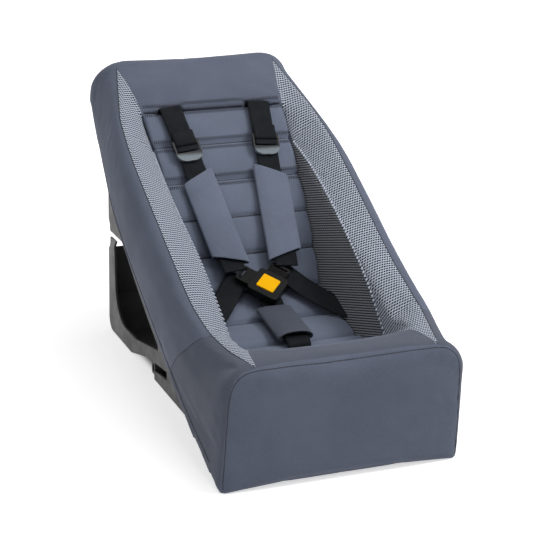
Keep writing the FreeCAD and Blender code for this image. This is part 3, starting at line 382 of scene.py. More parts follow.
# lines on the cover
def at_y(line, y):
    """Half width of a line of the cover at y, in metres."""
    table = np.array(line, float) * MM
    return np.interp(y, table[:, 1], table[:, 0])


def crest_line(reach):
    """Height of the straight part of the crest, in millimetres."""
    return CREST_JOIN[1] + CREST_SLOPE * (reach - CREST_JOIN[0])


def crest_height(y):
    """Height of the bolsters' crest at y, in metres."""
    reach = y / MM - APRON_Y
    fall = np.sqrt(np.maximum(CREST_RADIUS ** 2 - np.minimum(reach, CREST_JOIN[0]) ** 2, 0))
    return np.where(reach < CREST_JOIN[0], CREST_FRONT + CREST_RADIUS - fall, crest_line(reach)) * MM


def lower_edge(y):
    """Height of the cover's lower edge at the sides, in metres."""
    reach = y / MM - APRON_Y
    kick = crest_line(KICK_REACH) - BAND_DEPTH
    slope = (HEAD_BACK[1] - kick) / (HEAD_BACK[0] - KICK_REACH)
    rear = kick + slope * (reach - KICK_REACH)
    return np.where(reach < KICK_REACH, crest_line(reach) - BAND_DEPTH, rear) * MM


# materials
def new_material(name):
    """Material with its node tree and its shader."""
    material = bpy.data.materials.new(name)
    material.use_nodes = True
    tree = material.node_tree
    return material, tree, tree.nodes["Principled BSDF"]


def value_of(tree, socket_or_number, node, index):
    """Set or link one input of a node."""
    if isinstance(socket_or_number, (int, float)):
        node.inputs[index].default_value = socket_or_number
    else:
        tree.links.new(socket_or_number, node.inputs[index])


def calc(tree, operation, first, second=0.0, third=0.0):
    """Output of one math node."""
    node = tree.nodes.new("ShaderNodeMath")
    node.operation = operation
    for index, value in enumerate((first, second, third)):
        value_of(tree, value, node, index)
    return node.outputs[0]


def ramp(tree, value, low, high, to_low=0.0, to_high=1.0):
    """Smooth step of a value from low to high."""
    node = tree.nodes.new("ShaderNodeMapRange")
    node.interpolation_type = "SMOOTHSTEP"
    value_of(tree, value, node, 0)
    for index, number in enumerate((low, high, to_low, to_high), start=1):
        node.inputs[index].default_value = number
    return node.outputs[0]


def mix_colour(tree, share, first, second):
    """Colour mixed from two; each is a colour or an output."""
    node = tree.nodes.new("ShaderNodeMix")
    node.data_type = "RGBA"
    value_of(tree, share, node, 0)
    for index, colour in ((6, first), (7, second)):
        if isinstance(colour, bpy.types.NodeSocket):
            tree.links.new(colour, node.inputs[index])
        else:
            node.inputs[index].default_value = (*colour[:3], 1)
    return node.outputs[2]


def noise(tree, scale, detail=4.0, roughness=0.55):
    """Noise on the piece's own coordinates."""
    place = tree.nodes.new("ShaderNodeTexCoord")
    node = tree.nodes.new("ShaderNodeTexNoise")
    tree.links.new(place.outputs["Object"], node.inputs["Vector"])
    node.inputs["Scale"].default_value = scale
    node.inputs["Detail"].default_value = detail
    node.inputs["Roughness"].default_value = roughness
    return node.outputs["Fac"]


def object_axes(tree):
    """The piece's own x, y and z."""
    place = tree.nodes.new("ShaderNodeTexCoord")
    split = tree.nodes.new("ShaderNodeSeparateXYZ")
    tree.links.new(place.outputs["Object"], split.inputs[0])
    return split.outputs


def attribute(tree, name):
    """Node that reads a value stored on the mesh."""
    node = tree.nodes.new("ShaderNodeAttribute")
    node.attribute_name = name
    return node


def attribute_axes(tree, name):
    """Parts of a vector stored on the mesh."""
    split = tree.nodes.new("ShaderNodeSeparateXYZ")
    tree.links.new(attribute(tree, name).outputs["Vector"], split.inputs[0])
    return split.outputs


def bump(tree, shader, height, distance, strength=1.0):
    """Fine relief of a surface."""
    node = tree.nodes.new("ShaderNodeBump")
    node.inputs["Strength"].default_value = strength
    node.inputs["Distance"].default_value = distance
    tree.links.new(height, node.inputs["Height"])
    tree.links.new(node.outputs[0], shader.inputs["Normal"])


def weave_height(tree, pitch):
    """Over and under of a plain weave on object coordinates, 0 to 1."""
    x, y, z = object_axes(tree)[:3]
    turn = 2 * math.pi / pitch
    threads = []
    for axis in (x, z):
        slanted = calc(tree, "ADD", axis, calc(tree, "MULTIPLY", y, 0.5))
        threads.append(calc(tree, "SINE", calc(tree, "MULTIPLY", slanted, turn)))
    return calc(tree, "MULTIPLY_ADD", calc(tree, "MULTIPLY", *threads), 0.5, 0.5)


def lighter(colour, factor):
    """Colour times a factor."""
    return tuple(min(1.0, channel * factor) for channel in colour)


def fabric_colour(tree, colour):
    """Woven polyester: soft blotches and single lighter threads."""
    blotch = ramp(tree, noise(tree, 14, 3), 0.35, 0.65)
    soft = mix_colour(tree, blotch, lighter(colour, 0.93), lighter(colour, 1.07))
    speck = ramp(tree, noise(tree, 900, 2, 0.7), 0.45, 0.75)
    return mix_colour(tree, speck, soft, lighter(colour, 1.3))


def woven_fabric(name, colour, pitch):
    """Woven fabric of the liner and the pads."""
    material, tree, shader = new_material(name)
    weave = weave_height(tree, pitch)
    base = fabric_colour(tree, colour)
    shade = mix_colour(tree, calc(tree, "MULTIPLY", calc(tree, "SUBTRACT", 1.0, weave), 0.35), base,
                       lighter(colour, 0.6))
    tree.links.new(shade, shader.inputs["Base Color"])
    rough = ramp(tree, noise(tree, 30, 2), 0.3, 0.7, 0.78, 0.9)
    tree.links.new(rough, shader.inputs["Roughness"])
    shader.inputs["Sheen Weight"].default_value = 0.25
    shader.inputs["Sheen Roughness"].default_value = 0.45
    shader.inputs["Sheen Tint"].default_value = (0.75, 0.8, 0.95, 1)
    shader.inputs["Specular IOR Level"].default_value = 0.25
    height = calc(tree, "MULTIPLY_ADD", weave, 0.6, calc(tree, "MULTIPLY", noise(tree, 120, 4), 0.8))
    bump(tree, shader, height, 0.00035, 0.7)
    return material


def cover_material(fabrics):
    """Cover of the tub: woven fabric, spacer mesh on the bolsters and ribbed mesh on the inner walls."""
    material, tree, shader = new_material("cover_fabric_and_mesh")
    weave = weave_height(tree, fabrics.weave)
    fabric = fabric_colour(tree, fabrics.cover)
    fabric = mix_colour(tree, calc(tree, "MULTIPLY", calc(tree, "SUBTRACT", 1.0, weave), 0.35), fabric,
                        lighter(fabrics.cover, 0.6))
    front_panel = ramp(tree, attribute(tree, "front_panel").outputs["Fac"], -0.0005, 0.0005, 0.0, 0.7)
    fabric = mix_colour(tree, front_panel, fabric, fabrics.front)

    along, across, rise = attribute_axes(tree, "lay")[:3]
    row = calc(tree, "DIVIDE", along, fabrics.mesh_pitch)
    odd = calc(tree, "MODULO", calc(tree, "FLOOR", row), 2.0)
    column = calc(tree, "ADD", calc(tree, "DIVIDE", across, fabrics.mesh_pitch * 0.8),
                  calc(tree, "MULTIPLY", odd, 0.5))
    row_middle = calc(tree, "SUBTRACT", calc(tree, "FRACT", row), 0.5)
    column_middle = calc(tree, "SUBTRACT", calc(tree, "FRACT", column), 0.5)
    slanted = calc(tree, "ADD", column_middle, calc(tree, "MULTIPLY", row_middle, 0.5))
    tall = calc(tree, "POWER", calc(tree, "MULTIPLY", row_middle, 1.25), 2.0)
    distance = calc(tree, "SQRT", calc(tree, "ADD", tall, calc(tree, "POWER", slanted, 2.0)))
    hole = ramp(tree, distance, 0.36, 0.48, 1.0, 0.0)
    mesh = mix_colour(tree, hole, fabrics.mesh_thread, fabrics.mesh_hole)
    rib = calc(tree, "FRACT", calc(tree, "DIVIDE", rise, fabrics.rib_pitch))
    rib_middle = calc(tree, "SUBTRACT", rib, 0.5)
    groove = ramp(tree, calc(tree, "ABSOLUTE", rib_middle), 0.16, 0.34)
    wall_thread = mix_colour(tree, calc(tree, "MULTIPLY", hole, 0.55), lighter(fabrics.wall_thread, 1.0),
                             lighter(fabrics.wall_thread, 0.35))
    wall = mix_colour(tree, groove, wall_thread, lighter(fabrics.mesh_hole, 1.3))
    mesh_share = ramp(tree, attribute(tree, "mesh_edge").outputs["Fac"], -0.0004, 0.0004)
    wall_share = ramp(tree, attribute(tree, "wall_edge").outputs["Fac"], -0.0012, 0.0012)
    colour = mix_colour(tree, mesh_share, fabric, mesh)
    colour = mix_colour(tree, wall_share, colour, wall)
    tree.links.new(colour, shader.inputs["Base Color"])
    tree.links.new(ramp(tree, noise(tree, 30, 2), 0.3, 0.7, 0.76, 0.9), shader.inputs["Roughness"])
    shader.inputs["Sheen Weight"].default_value = 0.2
    shader.inputs["Sheen Roughness"].default_value = 0.45
    shader.inputs["Sheen Tint"].default_value = (0.75, 0.8, 0.95, 1)
    shader.inputs["Specular IOR Level"].default_value = 0.25
    netted = calc(tree, "MAXIMUM", mesh_share, wall_share)
    woven = calc(tree, "MULTIPLY_ADD", weave, 0.35, calc(tree, "MULTIPLY", noise(tree, 120, 4), 0.5))
    sunk = calc(tree, "MAXIMUM", hole, calc(tree, "MULTIPLY", groove, wall_share))
    net = calc(tree, "MULTIPLY", calc(tree, "SUBTRACT", 1.0, sunk), 2.2)
    height = calc(tree, "ADD", calc(tree, "MULTIPLY", net, netted),
                  calc(tree, "MULTIPLY", woven, calc(tree, "SUBTRACT", 1.0, netted)))
    bump(tree, shader, height, 0.0005, 0.7)
    return material


def webbing_material(colour):
    """Black webbing: fine chevron ribs along the band, from the strap's own lay."""
    material, tree, shader = new_material("webbing_weave")
    along, across = attribute_axes(tree, "lay")[:2]
    zig = calc(tree, "PINGPONG", across, 0.0022)
    rib = calc(tree, "SINE", calc(tree, "MULTIPLY", calc(tree, "ADD", along, zig), 2 * math.pi / 0.0017))
    cord = calc(tree, "SINE", calc(tree, "MULTIPLY", across, 2 * math.pi / 0.0022))
    height = calc(tree, "MULTIPLY_ADD", rib, 0.5, calc(tree, "MULTIPLY", cord, 0.4))
    shade = ramp(tree, height, -0.7, 0.8)
    base = mix_colour(tree, shade, lighter(colour, 0.55), lighter(colour, 1.7))
    tree.links.new(base, shader.inputs["Base Color"])
    tree.links.new(ramp(tree, noise(tree, 60, 3), 0.3, 0.7, 0.5, 0.68), shader.inputs["Roughness"])
    shader.inputs["Specular IOR Level"].default_value = 0.09
    bump(tree, shader, height, 0.0004, 0.6)
    return material


def moulded_plastic(name, colour, roughness, grain, grain_scale, specular):
    """Moulded plastic with fine grain, faint flow marks and paler rubbed places."""
    material, tree, shader = new_material(name)
    rub = ramp(tree, noise(tree, 22, 5, 0.65), 0.52, 0.8)
    flow = ramp(tree, noise(tree, 6, 2), 0.3, 0.7)
    base = mix_colour(tree, flow, lighter(colour, 0.88), lighter(colour, 1.12))
    tree.links.new(mix_colour(tree, calc(tree, "MULTIPLY", rub, 0.35), base, lighter(colour, 1.9)),
                   shader.inputs["Base Color"])
    spread = ramp(tree, noise(tree, 40, 4), 0.3, 0.75, roughness * 0.85, min(1.0, roughness * 1.2))
    tree.links.new(spread, shader.inputs["Roughness"])
    shader.inputs["Specular IOR Level"].default_value = specular
    bump(tree, shader, noise(tree, grain_scale, 3, 0.6), grain, 0.6)
    return material


def paint_tab_highlight(material, low, height):
    """Painted highlight: paler plastic towards the lower rim of the adjusters, in place of the glossy
    reflection on the tab.
    """
    tree = material.node_tree
    shader = tree.nodes["Principled BSDF"]
    base = shader.inputs["Base Color"].links[0].from_socket
    z = object_axes(tree)[2]
    share = calc(tree, "MULTIPLY", ramp(tree, z, low + 0.0008, low + 0.0035, 0.1, 1.0),
                 ramp(tree, z, low + 0.6 * height, low + height, 0.95, 0.0))
    # painted highlight: the tab's lower rim is mixed towards a pale grey
    tree.links.new(mix_colour(tree, share, base, (0.15, 0.18, 0.205)), shader.inputs["Base Color"])


def plated_steel(colour):
    """Zinc-plated steel with a fine grain."""
    material, tree, shader = new_material("plated_steel")
    tone = ramp(tree, noise(tree, 180, 5, 0.6), 0.3, 0.75)
    base = mix_colour(tree, tone, lighter(colour, 0.8), lighter(colour, 1.1))
    tree.links.new(base, shader.inputs["Base Color"])
    shader.inputs["Metallic"].default_value = 1.0
    tree.links.new(ramp(tree, noise(tree, 400, 3), 0.3, 0.7, 0.28, 0.45), shader.inputs["Roughness"])
    bump(tree, shader, noise(tree, 900, 2), 0.0001, 0.4)
    return material


def dress(piece, material):
    """Give a piece or a CAD node one material all over."""
    piece.data.materials.clear()
    piece.data.materials.append(material)


# seat cover
def cover_held(points):
    """Where the cover is sewn or lies on the foam and the pan, 1, and where it may swell, 0."""
    half = np.abs(points[:, 0])
    y = points[:, 1]
    below = crest_height(y) - points[:, 2]
    held = np.maximum(near(half, at_y(OUTER_SEAM, y), 0.004) * (below < 0.03),
                      near(below, 0.105, 0.008) * (half > 0.14))
    inside = (half < at_y(INNER_EDGE, y) - 0.002) & (y > -0.2) & (y < 0.16)
    under = (below > 0.1) & (y > -0.27)
    held[inside | under] = 1.0
    return held


def sag_roll(piece):
    """Let the front roll sink a little between the bolsters."""
    points = points_of(piece.data)
    across = np.clip(1 - (points[:, 0] / 0.108) ** 2, 0, 1)
    share = np.clip(1 - np.abs(points[:, 1] + 0.253) / 0.055, 0, 1)
    over = share * share * (3 - 2 * share) * (points[:, 2] > 0.1)
    points[:, 2] -= 0.0045 * across * over
    move_points(piece.data, points)


def set_down(piece):
    """Bring the apron's lower edge down to the floor again after the smoothing."""
    points = points_of(piece.data)
    near_floor = np.clip(1 - points[:, 2] / 0.03, 0, 1) * (points[:, 1] < -0.2)
    points[:, 2] -= near_floor * (points[:, 2].min() - 0.0004)
    move_points(piece.data, points)


def cover_zones(piece):
    """Store the lay of the mesh fabric and the distances to the seams for the material."""
    points = points_of(piece.data)
    half = np.abs(points[:, 0])
    y = points[:, 1]
    seam = at_y(OUTER_SEAM, y)
    edge = at_y(INNER_EDGE, y)
    below = crest_height(y) - points[:, 2]
    mesh_depth, mesh_front = 0.06, -0.3035
    above = np.minimum(mesh_depth - below, 0.05)
    mesh_edge = np.minimum.reduce([seam - half, half - edge, above, y - mesh_front])
    ridge_front, ridge_head = np.array(RIDGE_ENDS) * MM
    wall_foot = np.interp(y, (-0.2, -0.18), (0.09, 0.06))
    wall_edge = np.minimum.reduce([edge - half, half - wall_foot, y - ridge_front + 0.015, ridge_head - y])
    line = np.array(SIDE_SEAM, float) * MM
    seam_y = np.interp(points[:, 2], line[::-1, 2], line[::-1, 1])
    apron = np.array(APRON_EDGE, float)[::-1] * MM
    above_apron = points[:, 2] - np.interp(half, apron[:, 0], apron[:, 1])
    side_panel = np.minimum.reduce([seam_y - y, half - seam, above_apron])
    roll_rear, roll_low = -0.19, 0.1
    roll = np.minimum.reduce([edge - half, roll_rear - y, above_apron, points[:, 2] - roll_low])
    crest_angle = math.radians(28.6)
    rib_slope = 0.263
    along = y * math.cos(crest_angle) + points[:, 2] * math.sin(crest_angle)
    across = seam - half + np.maximum(below - 0.02, 0)
    rise = points[:, 2] + rib_slope * y
    set_vectors(piece.data, "lay", np.stack([along, across, rise], axis=1))
    set_values(piece.data, "mesh_edge", mesh_edge)
    set_values(piece.data, "wall_edge", wall_edge)
    set_values(piece.data, "front_panel", np.maximum(side_panel, roll))


class SEAT_OT_cover(bpy.types.Operator):
    """Padded cover of the tub with its head panel"""
    bl_idname = "seat.cover"
    bl_label = "Seat cover"

    def execute(self, context):
        fabrics = look()[0]
        tub = solid_of("padded_tub")
        head = solid_of("quilted_liner", 0.0008, 1)
        piece = voxel_skin("seat_cover", [tub, head], 0.0036, 5)
        held = cover_held(points_of(piece.data))
        fill_with_air(piece, held, 3.0, fabrics.puff)
        sag_roll(piece)
        set_down(piece)
        cover_zones(piece)
        finish_skin(piece, cover_material(fabrics), ["padded_tub"])
        return {"FINISHED"}


def channel_distance(points):
    """Distance of liner points to the nearest sewn channel, in metres."""
    distance = np.full(len(points), 1.0)
    for y, z, slope in channel_points():
        along = (points[:, 1] - y * MM) * math.cos(slope) + (points[:, 2] - z * MM) * math.sin(slope)
        height = -(points[:, 1] - y * MM) * math.sin(slope) + (points[:, 2] - z * MM) * math.cos(slope)
        close = np.abs(height) < 0.02
        distance = np.where(close, np.minimum(distance, np.abs(along)), distance)
    return distance


class SEAT_OT_liner(bpy.types.Operator):
    """Quilted liner of back and seat, puffed between its sewn channels"""
    bl_idname = "seat.liner"
    bl_label = "Quilted liner"

    def execute(self, context):
        fabrics = look()[0]
        piece = voxel_skin("quilted_liner_cover", [solid_of("quilted_liner", -0.001, -1)], 0.003, 4)
        points = points_of(piece.data)
        normals = normals_of(piece.data)
        upper = (normals[:, 2] > 0.2) | ((normals[:, 1] < -0.4) & (normals[:, 2] > -0.2))
        held = np.where(upper, near(channel_distance(points), 0.0, 0.0035), 1.0)
        fill_with_air(piece, held, 5.0, 0.006)
        points = points_of(piece.data)
        normals = normals_of(piece.data)
        crease = near(channel_distance(points), 0.0, 0.0026) * upper
        move_points(piece.data, points - normals * (crease * 0.003)[:, None])
        finish_skin(piece, woven_fabric("quilted_fabric", fabrics.liner, fabrics.weave),
                    ["quilted_liner"])
        return {"FINISHED"}


def rounded_flat(turn, around):
    """Place on a flattened round section: across and up, each from -1 to 1."""
    angle = 2 * math.pi * turn / around
    c, s = math.cos(angle), math.sin(angle)
    return math.copysign(abs(c) ** 0.55, c), math.copysign(abs(s) ** 0.8, s)


def sleeve_mesh(name, ends, steps):
    """Flat sleeve with rolled hems and a passage; ends gives y at both ends for a place across."""
    around = 40
    passage = (0.0172, 0.0017)
    hems = [(0.0, 0.7), (0.0, 0.35)], [(1.0, 0.35), (1.0, 0.7)]
    outside = [(step / steps, 0.0) for step in range(steps + 1)]
    inside = [(share, 1.0) for share in (0.97, 0.7, 0.3, 0.03)]
    rings = hems[0] + outside + hems[1] + inside
    vertices = []
    for share, fall in rings:
        inset = 0.0012 * (0.3 + 0.7 * fall) if 0 < fall < 1 else 0.0
        for turn in range(around):
            flat, tall = rounded_flat(turn, around)
            x = flat * (PAD_HALF * (1 - fall) + passage[0] * fall)
            z = tall * (PAD_THICKNESS / 2 * (1 - fall) + passage[1] * fall)
            low, high = ends(x)
            y = low + (high - low) * share + (inset if share < 0.5 else -inset)
            vertices.append((x, y, z))
    mesh = closed_mesh(name, vertices, tube_faces([*range(len(rings)), 0], around))
    outer = np.zeros(len(vertices))
    outer[len(hems[0]) * around:(len(hems[0]) + len(outside)) * around] = 1.0
    set_values(mesh, "outer", outer)
    return mesh


def make_sleeve(node, ends, steps, place, material, arch=0.0):
    """Sleeve puffed by filling; arch lifts the top of its lower opening."""
    name = f"{node}_sleeve"
    piece = add_object(name, sleeve_mesh(name, ends, steps))
    points = points_of(piece.data)
    mouth = np.clip(1 - (points[:, 1] - ends(0.0)[0]) / 0.03, 0, 1) ** 2
    edge = np.abs(points[:, 0]) / PAD_HALF
    points[:, 2] += arch * mouth * (1 - np.clip(edge, 0, 1) ** 2) * (points[:, 2] > 0)
    move_points(piece.data, points)
    outer = np.array([item.value for item in piece.data.attributes["outer"].data])
    held = np.maximum(np.clip((edge - 0.9) * 10, 0, 1), 1 - outer)
    fill_with_air(piece, held, 6.0, 0.0022)
    piece.data.transform(place)
    piece.data.update()
    subdivide = piece.modifiers.new("round", "SUBSURF")
    subdivide.levels = 1
    subdivide.render_levels = 1
    settle(piece)
    finish_skin(piece, material, [node])


def pad_material(name, colour, fabrics):
    """Sleeve fabric outside, black lining in the passage."""
    material = woven_fabric(name, colour, fabrics.weave)
    tree = material.node_tree
    shader = tree.nodes["Principled BSDF"]
    outside = shader.inputs["Base Color"].links[0].from_socket
    share = ramp(tree, attribute(tree, "outer").outputs["Fac"], 0.4, 0.6)
    lined = mix_colour(tree, share, lighter(fabrics.webbing, 1.2), outside)
    tree.links.new(lined, shader.inputs["Base Color"])
    return material


class SEAT_OT_pads(bpy.types.Operator):
    """Padded sleeves of the shoulder straps and the crotch strap"""
    bl_idname = "seat.pads"
    bl_label = "Harness pads"

    def execute(self, context):
        fabrics = look()[0]
        material = pad_material("pad_fabric", fabrics.pads, fabrics)
        lift = Matrix.Translation(Vector((0, 0, STRAP_LIFT)))
        for name, side in SIDES:
            def slanted(x, side=side):
                slant = 0.009 * (1 + side * x / PAD_HALF)
                return -0.250 + slant, -0.103 - slant
            make_sleeve(f"shoulder_pad_{name}", slanted, 46, strap_frame(side) @ lift, material)
        low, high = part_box("crotch_pad")
        middle = (low + high) / 2
        rise = math.atan2(high.z - low.z - 0.0105, high.y - low.y)
        # painted shade: the crotch pad gets the pad fabric at 0.36 of its brightness, in place of the shadow
        # under the buckle
        shaded_pad_material = pad_material("crotch_pad_shaded_fabric", lighter(fabrics.pads, 0.36), fabrics)
        make_sleeve("crotch_pad", lambda x: (-0.037, 0.043), 26, placed(middle, rise), shaded_pad_material, 0.0045)
        return {"FINISHED"}


# webbing
def smooth_path(corners, radius=0.0, steps=6):
    """Points along a path whose inner corners are rounded; corners are (along, height)."""
    points = [Vector((*corners[0], 0))]
    for before, corner, after in zip(corners, corners[1:], corners[2:]):
        here = Vector((*corner, 0))
        back = Vector((*before, 0)) - here
        on = Vector((*after, 0)) - here
        reach = min(radius, back.length * 0.49, on.length * 0.49)
        first = here + back.normalized() * reach
        last = here + on.normalized() * reach
        for step in range(steps + 1):
            share = step / steps
            points.append(first.lerp(here, share).lerp(here.lerp(last, share), share))
    points.append(Vector((*corners[-1], 0)))
    return points


def band(node, path, ups, material):
    """Strap of webbing along 3D points; ups are the directions out of its face."""
    name = f"{node}_webbing"
    section = []
    side_steps = 10
    for face in (1, -1):
        for step in range(side_steps + 1):
            across = (step / side_steps * 2 - 1) * face
            bevel = 1 - 0.55 * max(0.0, abs(across) - 0.9) / 0.1
            ribs = 1 + 0.05 * math.cos(across * math.pi * 5)
            section.append((across * WEBBING_HALF, face * WEBBING_THICKNESS / 2 * bevel * ribs))
    vertices = []
    lays = []
    travelled = 0.0
    for index, point in enumerate(path):
        side, up = run_frame(path, ups, index)
        if index:
            travelled += (point - path[index - 1]).length
        for across, height in section:
            vertices.append(point + side * across + up * height)
            lays.append((travelled, across + WEBBING_HALF, 0.0))
    count = len(section)
    faces = tube_faces(range(len(path)), count)
    faces.append(tuple(range(count)))
    faces.append(tuple(range(len(vertices) - 1, len(vertices) - 1 - count, -1)))
    mesh = closed_mesh(name, vertices, faces)
    set_vectors(mesh, "lay", lays)
    finish_skin(add_object(name, mesh), material, [node])


def resampled(points, spacing):
    """Points at even steps along a path."""
    lengths = [0.0]
    for one, two in zip(points, points[1:]):
        lengths.append(lengths[-1] + (two - one).length)
    count = max(2, round(lengths[-1] / spacing))
    result = []
    for step in range(count + 1):
        goal = lengths[-1] * step / count
        index = min(max(np.searchsorted(lengths, goal) - 1, 0), len(points) - 2)
        share = (goal - lengths[index]) / max(lengths[index + 1] - lengths[index], 1e-9)
        result.append(points[index].lerp(points[index + 1], share))
    return result


def flat_band(node, corners, radius, place, material):
    """Strap whose path lies in the YZ plane of a frame."""
    path = resampled(smooth_path(corners, radius), 0.0022)
    turn = place.to_3x3()
    spots = [place @ Vector((0, point.x, point.y)) for point in path]
    ups = []
    for index in range(len(path)):
        before, after = neighbours(path, index)
        run = after - before
        ups.append(turn @ Vector((0, -run.y, run.x)).normalized())
    band(node, spots, ups, material)


class SEAT_OT_webbing(bpy.types.Operator):
    """Harness webbing: shoulder straps, hip straps and crotch strap"""
    bl_idname = "seat.webbing"
    bl_label = "Webbing"

    def execute(self, context):
        fabrics = look()[0]
        material = webbing_material(fabrics.webbing)
        wrap = 3.0 * MM
        top = STRAP_LIFT + 2 * wrap
        bar = -62 * MM
        second = bar - 8.4 * MM
        turn = bar - wrap * 1.15
        second_turn = second + wrap * 1.15
        upper = [(0, -0.0740), (0, STRAP_LIFT), (turn, STRAP_LIFT), (turn, top), (bar + 0.018, top)]
        lower = [(second - 0.005, top), (second_turn, top), (second_turn, STRAP_LIFT), (-0.257, STRAP_LIFT)]
        for name, side in SIDES:
            place = strap_frame(side)
            flat_band(f"shoulder_strap_upper_{name}", upper, 0.0035, place, material)
            flat_band(f"shoulder_strap_lower_{name}", lower, 0.0032, place, material)
            self.hip(name, side, material)
        self.crotch(material)
        return {"FINISHED"}

    def hip(self, name, side, material):
        """From under the tongue to the side wall, hanging a little."""
        buckle = placed(BUCKLE, BUCKLE_TILT)
        tongue = buckle @ Matrix.Rotation(-side * math.pi / 4, 4, "Z")
        start = tongue @ Vector((0, 0.041, -0.0102))
        wall = Vector((side * 0.088, -0.085, 0.137))
        axis = (wall - start).normalized()
        end = wall + axis * 0.012 - Vector((0, 0, 0.006))
        up = buckle.to_3x3() @ Vector((0, 0, 1))
        path = []
        for step in range(41):
            share = step / 40
            bow = -math.sin(share * math.pi) * 0.006
            path.append(start.lerp(end, share) + up * bow)
        band(f"hip_strap_{name}", path, [up] * len(path), material)

    def crotch(self, material):
        """From under the seat, through the liner and the sleeve to the buckle."""
        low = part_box("crotch_strap")[0]
        tilt = placed(BUCKLE, BUCKLE_TILT)
        under = -0.0130
        edge = tilt @ Vector((0, -0.0315, under))
        top = tilt @ Vector((0, -0.0063, under))
        corners = [(-0.157, low.z), (-0.157, 0.1195), (edge.y, edge.z), (top.y, top.z)]
        flat_band("crotch_strap", corners, 0.009, Matrix.Identity(4), material)


# seams and stitches
def surface_finder(*names):
    """Nearest-surface tree of finished pieces."""
    graph = bpy.context.evaluated_depsgraph_get()
    joined = bmesh.new()
    for name in names:
        joined.from_mesh(bpy.data.objects[name].evaluated_get(graph).data)
    tree = BVHTree.FromBMesh(joined)
    joined.free()
    return tree


def drop(tree, start, direction):
    """Point and normal where a ray meets the surface."""
    spot, normal, _, _ = tree.ray_cast(Vector(start), Vector(direction).normalized())
    return (spot, normal) if spot is not None else None


def dropped(tree, starts, direction):
    """Points and normals where rays from several places meet the surface."""
    hits = [drop(tree, start, direction) for start in starts]
    return [hit for hit in hits if hit]


def nearest(tree, start):
    """Nearest point of the surface and its normal."""
    spot, normal, _, _ = tree.find_nearest(Vector(start))
    return spot, normal


def relaxed(points, rounds=6):
    """Smoothed copy of a line, ends kept."""
    line = np.array([tuple(point) for point in points])
    for _ in range(rounds):
        line[1:-1] = 0.25 * line[:-2] + 0.5 * line[1:-1] + 0.25 * line[2:]
    return [Vector(point) for point in line]


def seam_cord(name, lines, radius, material):
    """Sewn seam lines as fine cords on the surface; each line is a list of (point, normal)."""
    vertices = []
    faces = []
    around = 6
    sink = 0.35
    for line in lines:
        spots = relaxed([point for point, _ in line])
        ups = [normal for _, normal in line]
        base = len(vertices)
        for index, point in enumerate(spots):
            side, up = run_frame(spots, ups, index)
            for turn in range(around):
                angle = 2 * math.pi * turn / around
                vertices.append(point + (side * math.cos(angle) + up * (math.sin(angle) - sink)) * radius)
        faces += tube_faces(range(len(spots)), around, base)
        for end in (base, base + (len(spots) - 1) * around):
            faces.append(tuple(end + turn for turn in range(around)))
    finish_skin(add_object(name, closed_mesh(name, vertices, faces)), material)


def between(line, count):
    """Even points along a line of tuples."""
    corners = [Vector(corner) for corner in line]
    whole = sum((two - one).length for one, two in zip(corners, corners[1:]))
    return [tuple(point) for point in resampled(corners, whole / count)]


def thread_material(name, colour):
    """Twisted thread."""
    material, tree, shader = new_material(name)
    twist = ramp(tree, noise(tree, 1500, 2), 0.35, 0.65)
    tree.links.new(mix_colour(tree, twist, lighter(colour, 0.6), lighter(colour, 1.6)),
                   shader.inputs["Base Color"])
    tree.links.new(ramp(tree, noise(tree, 300, 2), 0.3, 0.7, 0.6, 0.8), shader.inputs["Roughness"])
    bump(tree, shader, noise(tree, 2200, 2), 0.0002, 0.6)
    return material


class SEAT_OT_seams(bpy.types.Operator):
    """Sewn seam lines of the cover, its hems and the liner"""
    bl_idname = "seat.seams"
    bl_label = "Seam lines"

    def execute(self, context):
        fabrics, sewing = look()[:2]
        cover = surface_finder("seat_cover")
        lines = []
        hems = []
        down = (0, 0, -1)
        outside = 0.3
        for _, side in SIDES:
            inwards = (-side, 0, 0)
            starts = [(side * half * MM, y * MM, 0.6) for half, y in between(OUTER_SEAM, 150)]
            lines.append(dropped(cover, starts, down))
            starts = [(side * outside, y * MM, z * MM) for _, y, z in between(SIDE_SEAM, 50)]
            lines.append(dropped(cover, starts, inwards))
            starts = []
            for y in np.linspace(-0.262, 0.238, 121):
                rise = np.interp(y, (-0.067, 0.114), HEM_RISE) * MM
                starts.append((side * outside, y, float(lower_edge(y) + rise)))
            hems.append(dropped(cover, starts, inwards))
        edge = [(-half, z) for half, z in APRON_EDGE] + [(half, z) for half, z in reversed(APRON_EDGE)]
        apron = []
        for x, z in between(edge, 220):
            front = APRON_Y + APRON_LEAN * (1 - z / CREST_FRONT)
            apron.append(nearest(cover, (x * MM, (front - 1) * MM, z * MM)))
        lines.append(apron)
        thread = thread_material("seam_thread", fabrics.sewing)
        seam_cord("cover_seams", lines, sewing.seam_radius, thread)
        seam_cord("hem_seams", hems, sewing.seam_radius * 1.7, thread)
        liner = surface_finder("quilted_liner_cover")
        across = (-0.1, 0.1)
        points = channel_points()
        channels = [self.channel(liner, across, *point) for point in points[1:3]]
        panel_edge = surface_finder("quilted_liner_cover", "seat_cover")
        for between_slots in ((-0.096, -0.083), (-0.041, 0.041), (0.083, 0.096)):
            channels.append(self.channel(panel_edge, between_slots, *points[0]))
        seam_cord("liner_seams", channels, sewing.seam_radius * 1.7, thread)
        grooves = [self.channel(liner, across, *point) for point in points[3:]]
        seam_cord("liner_grooves", grooves, sewing.seam_radius * 2.3, thread)
        return {"FINISHED"}

    def channel(self, liner, across, y, z, slope):
        """Line of a sewn channel across the liner, between two places across it."""
        out = Vector((0, -math.sin(slope), math.cos(slope)))
        starts = [Vector((x, y * MM, z * MM)) + out * 0.03 for x in np.linspace(*across, 81)]
        return [hit for hit in dropped(liner, starts, -out) if hit[1].dot(out) > 0.4]


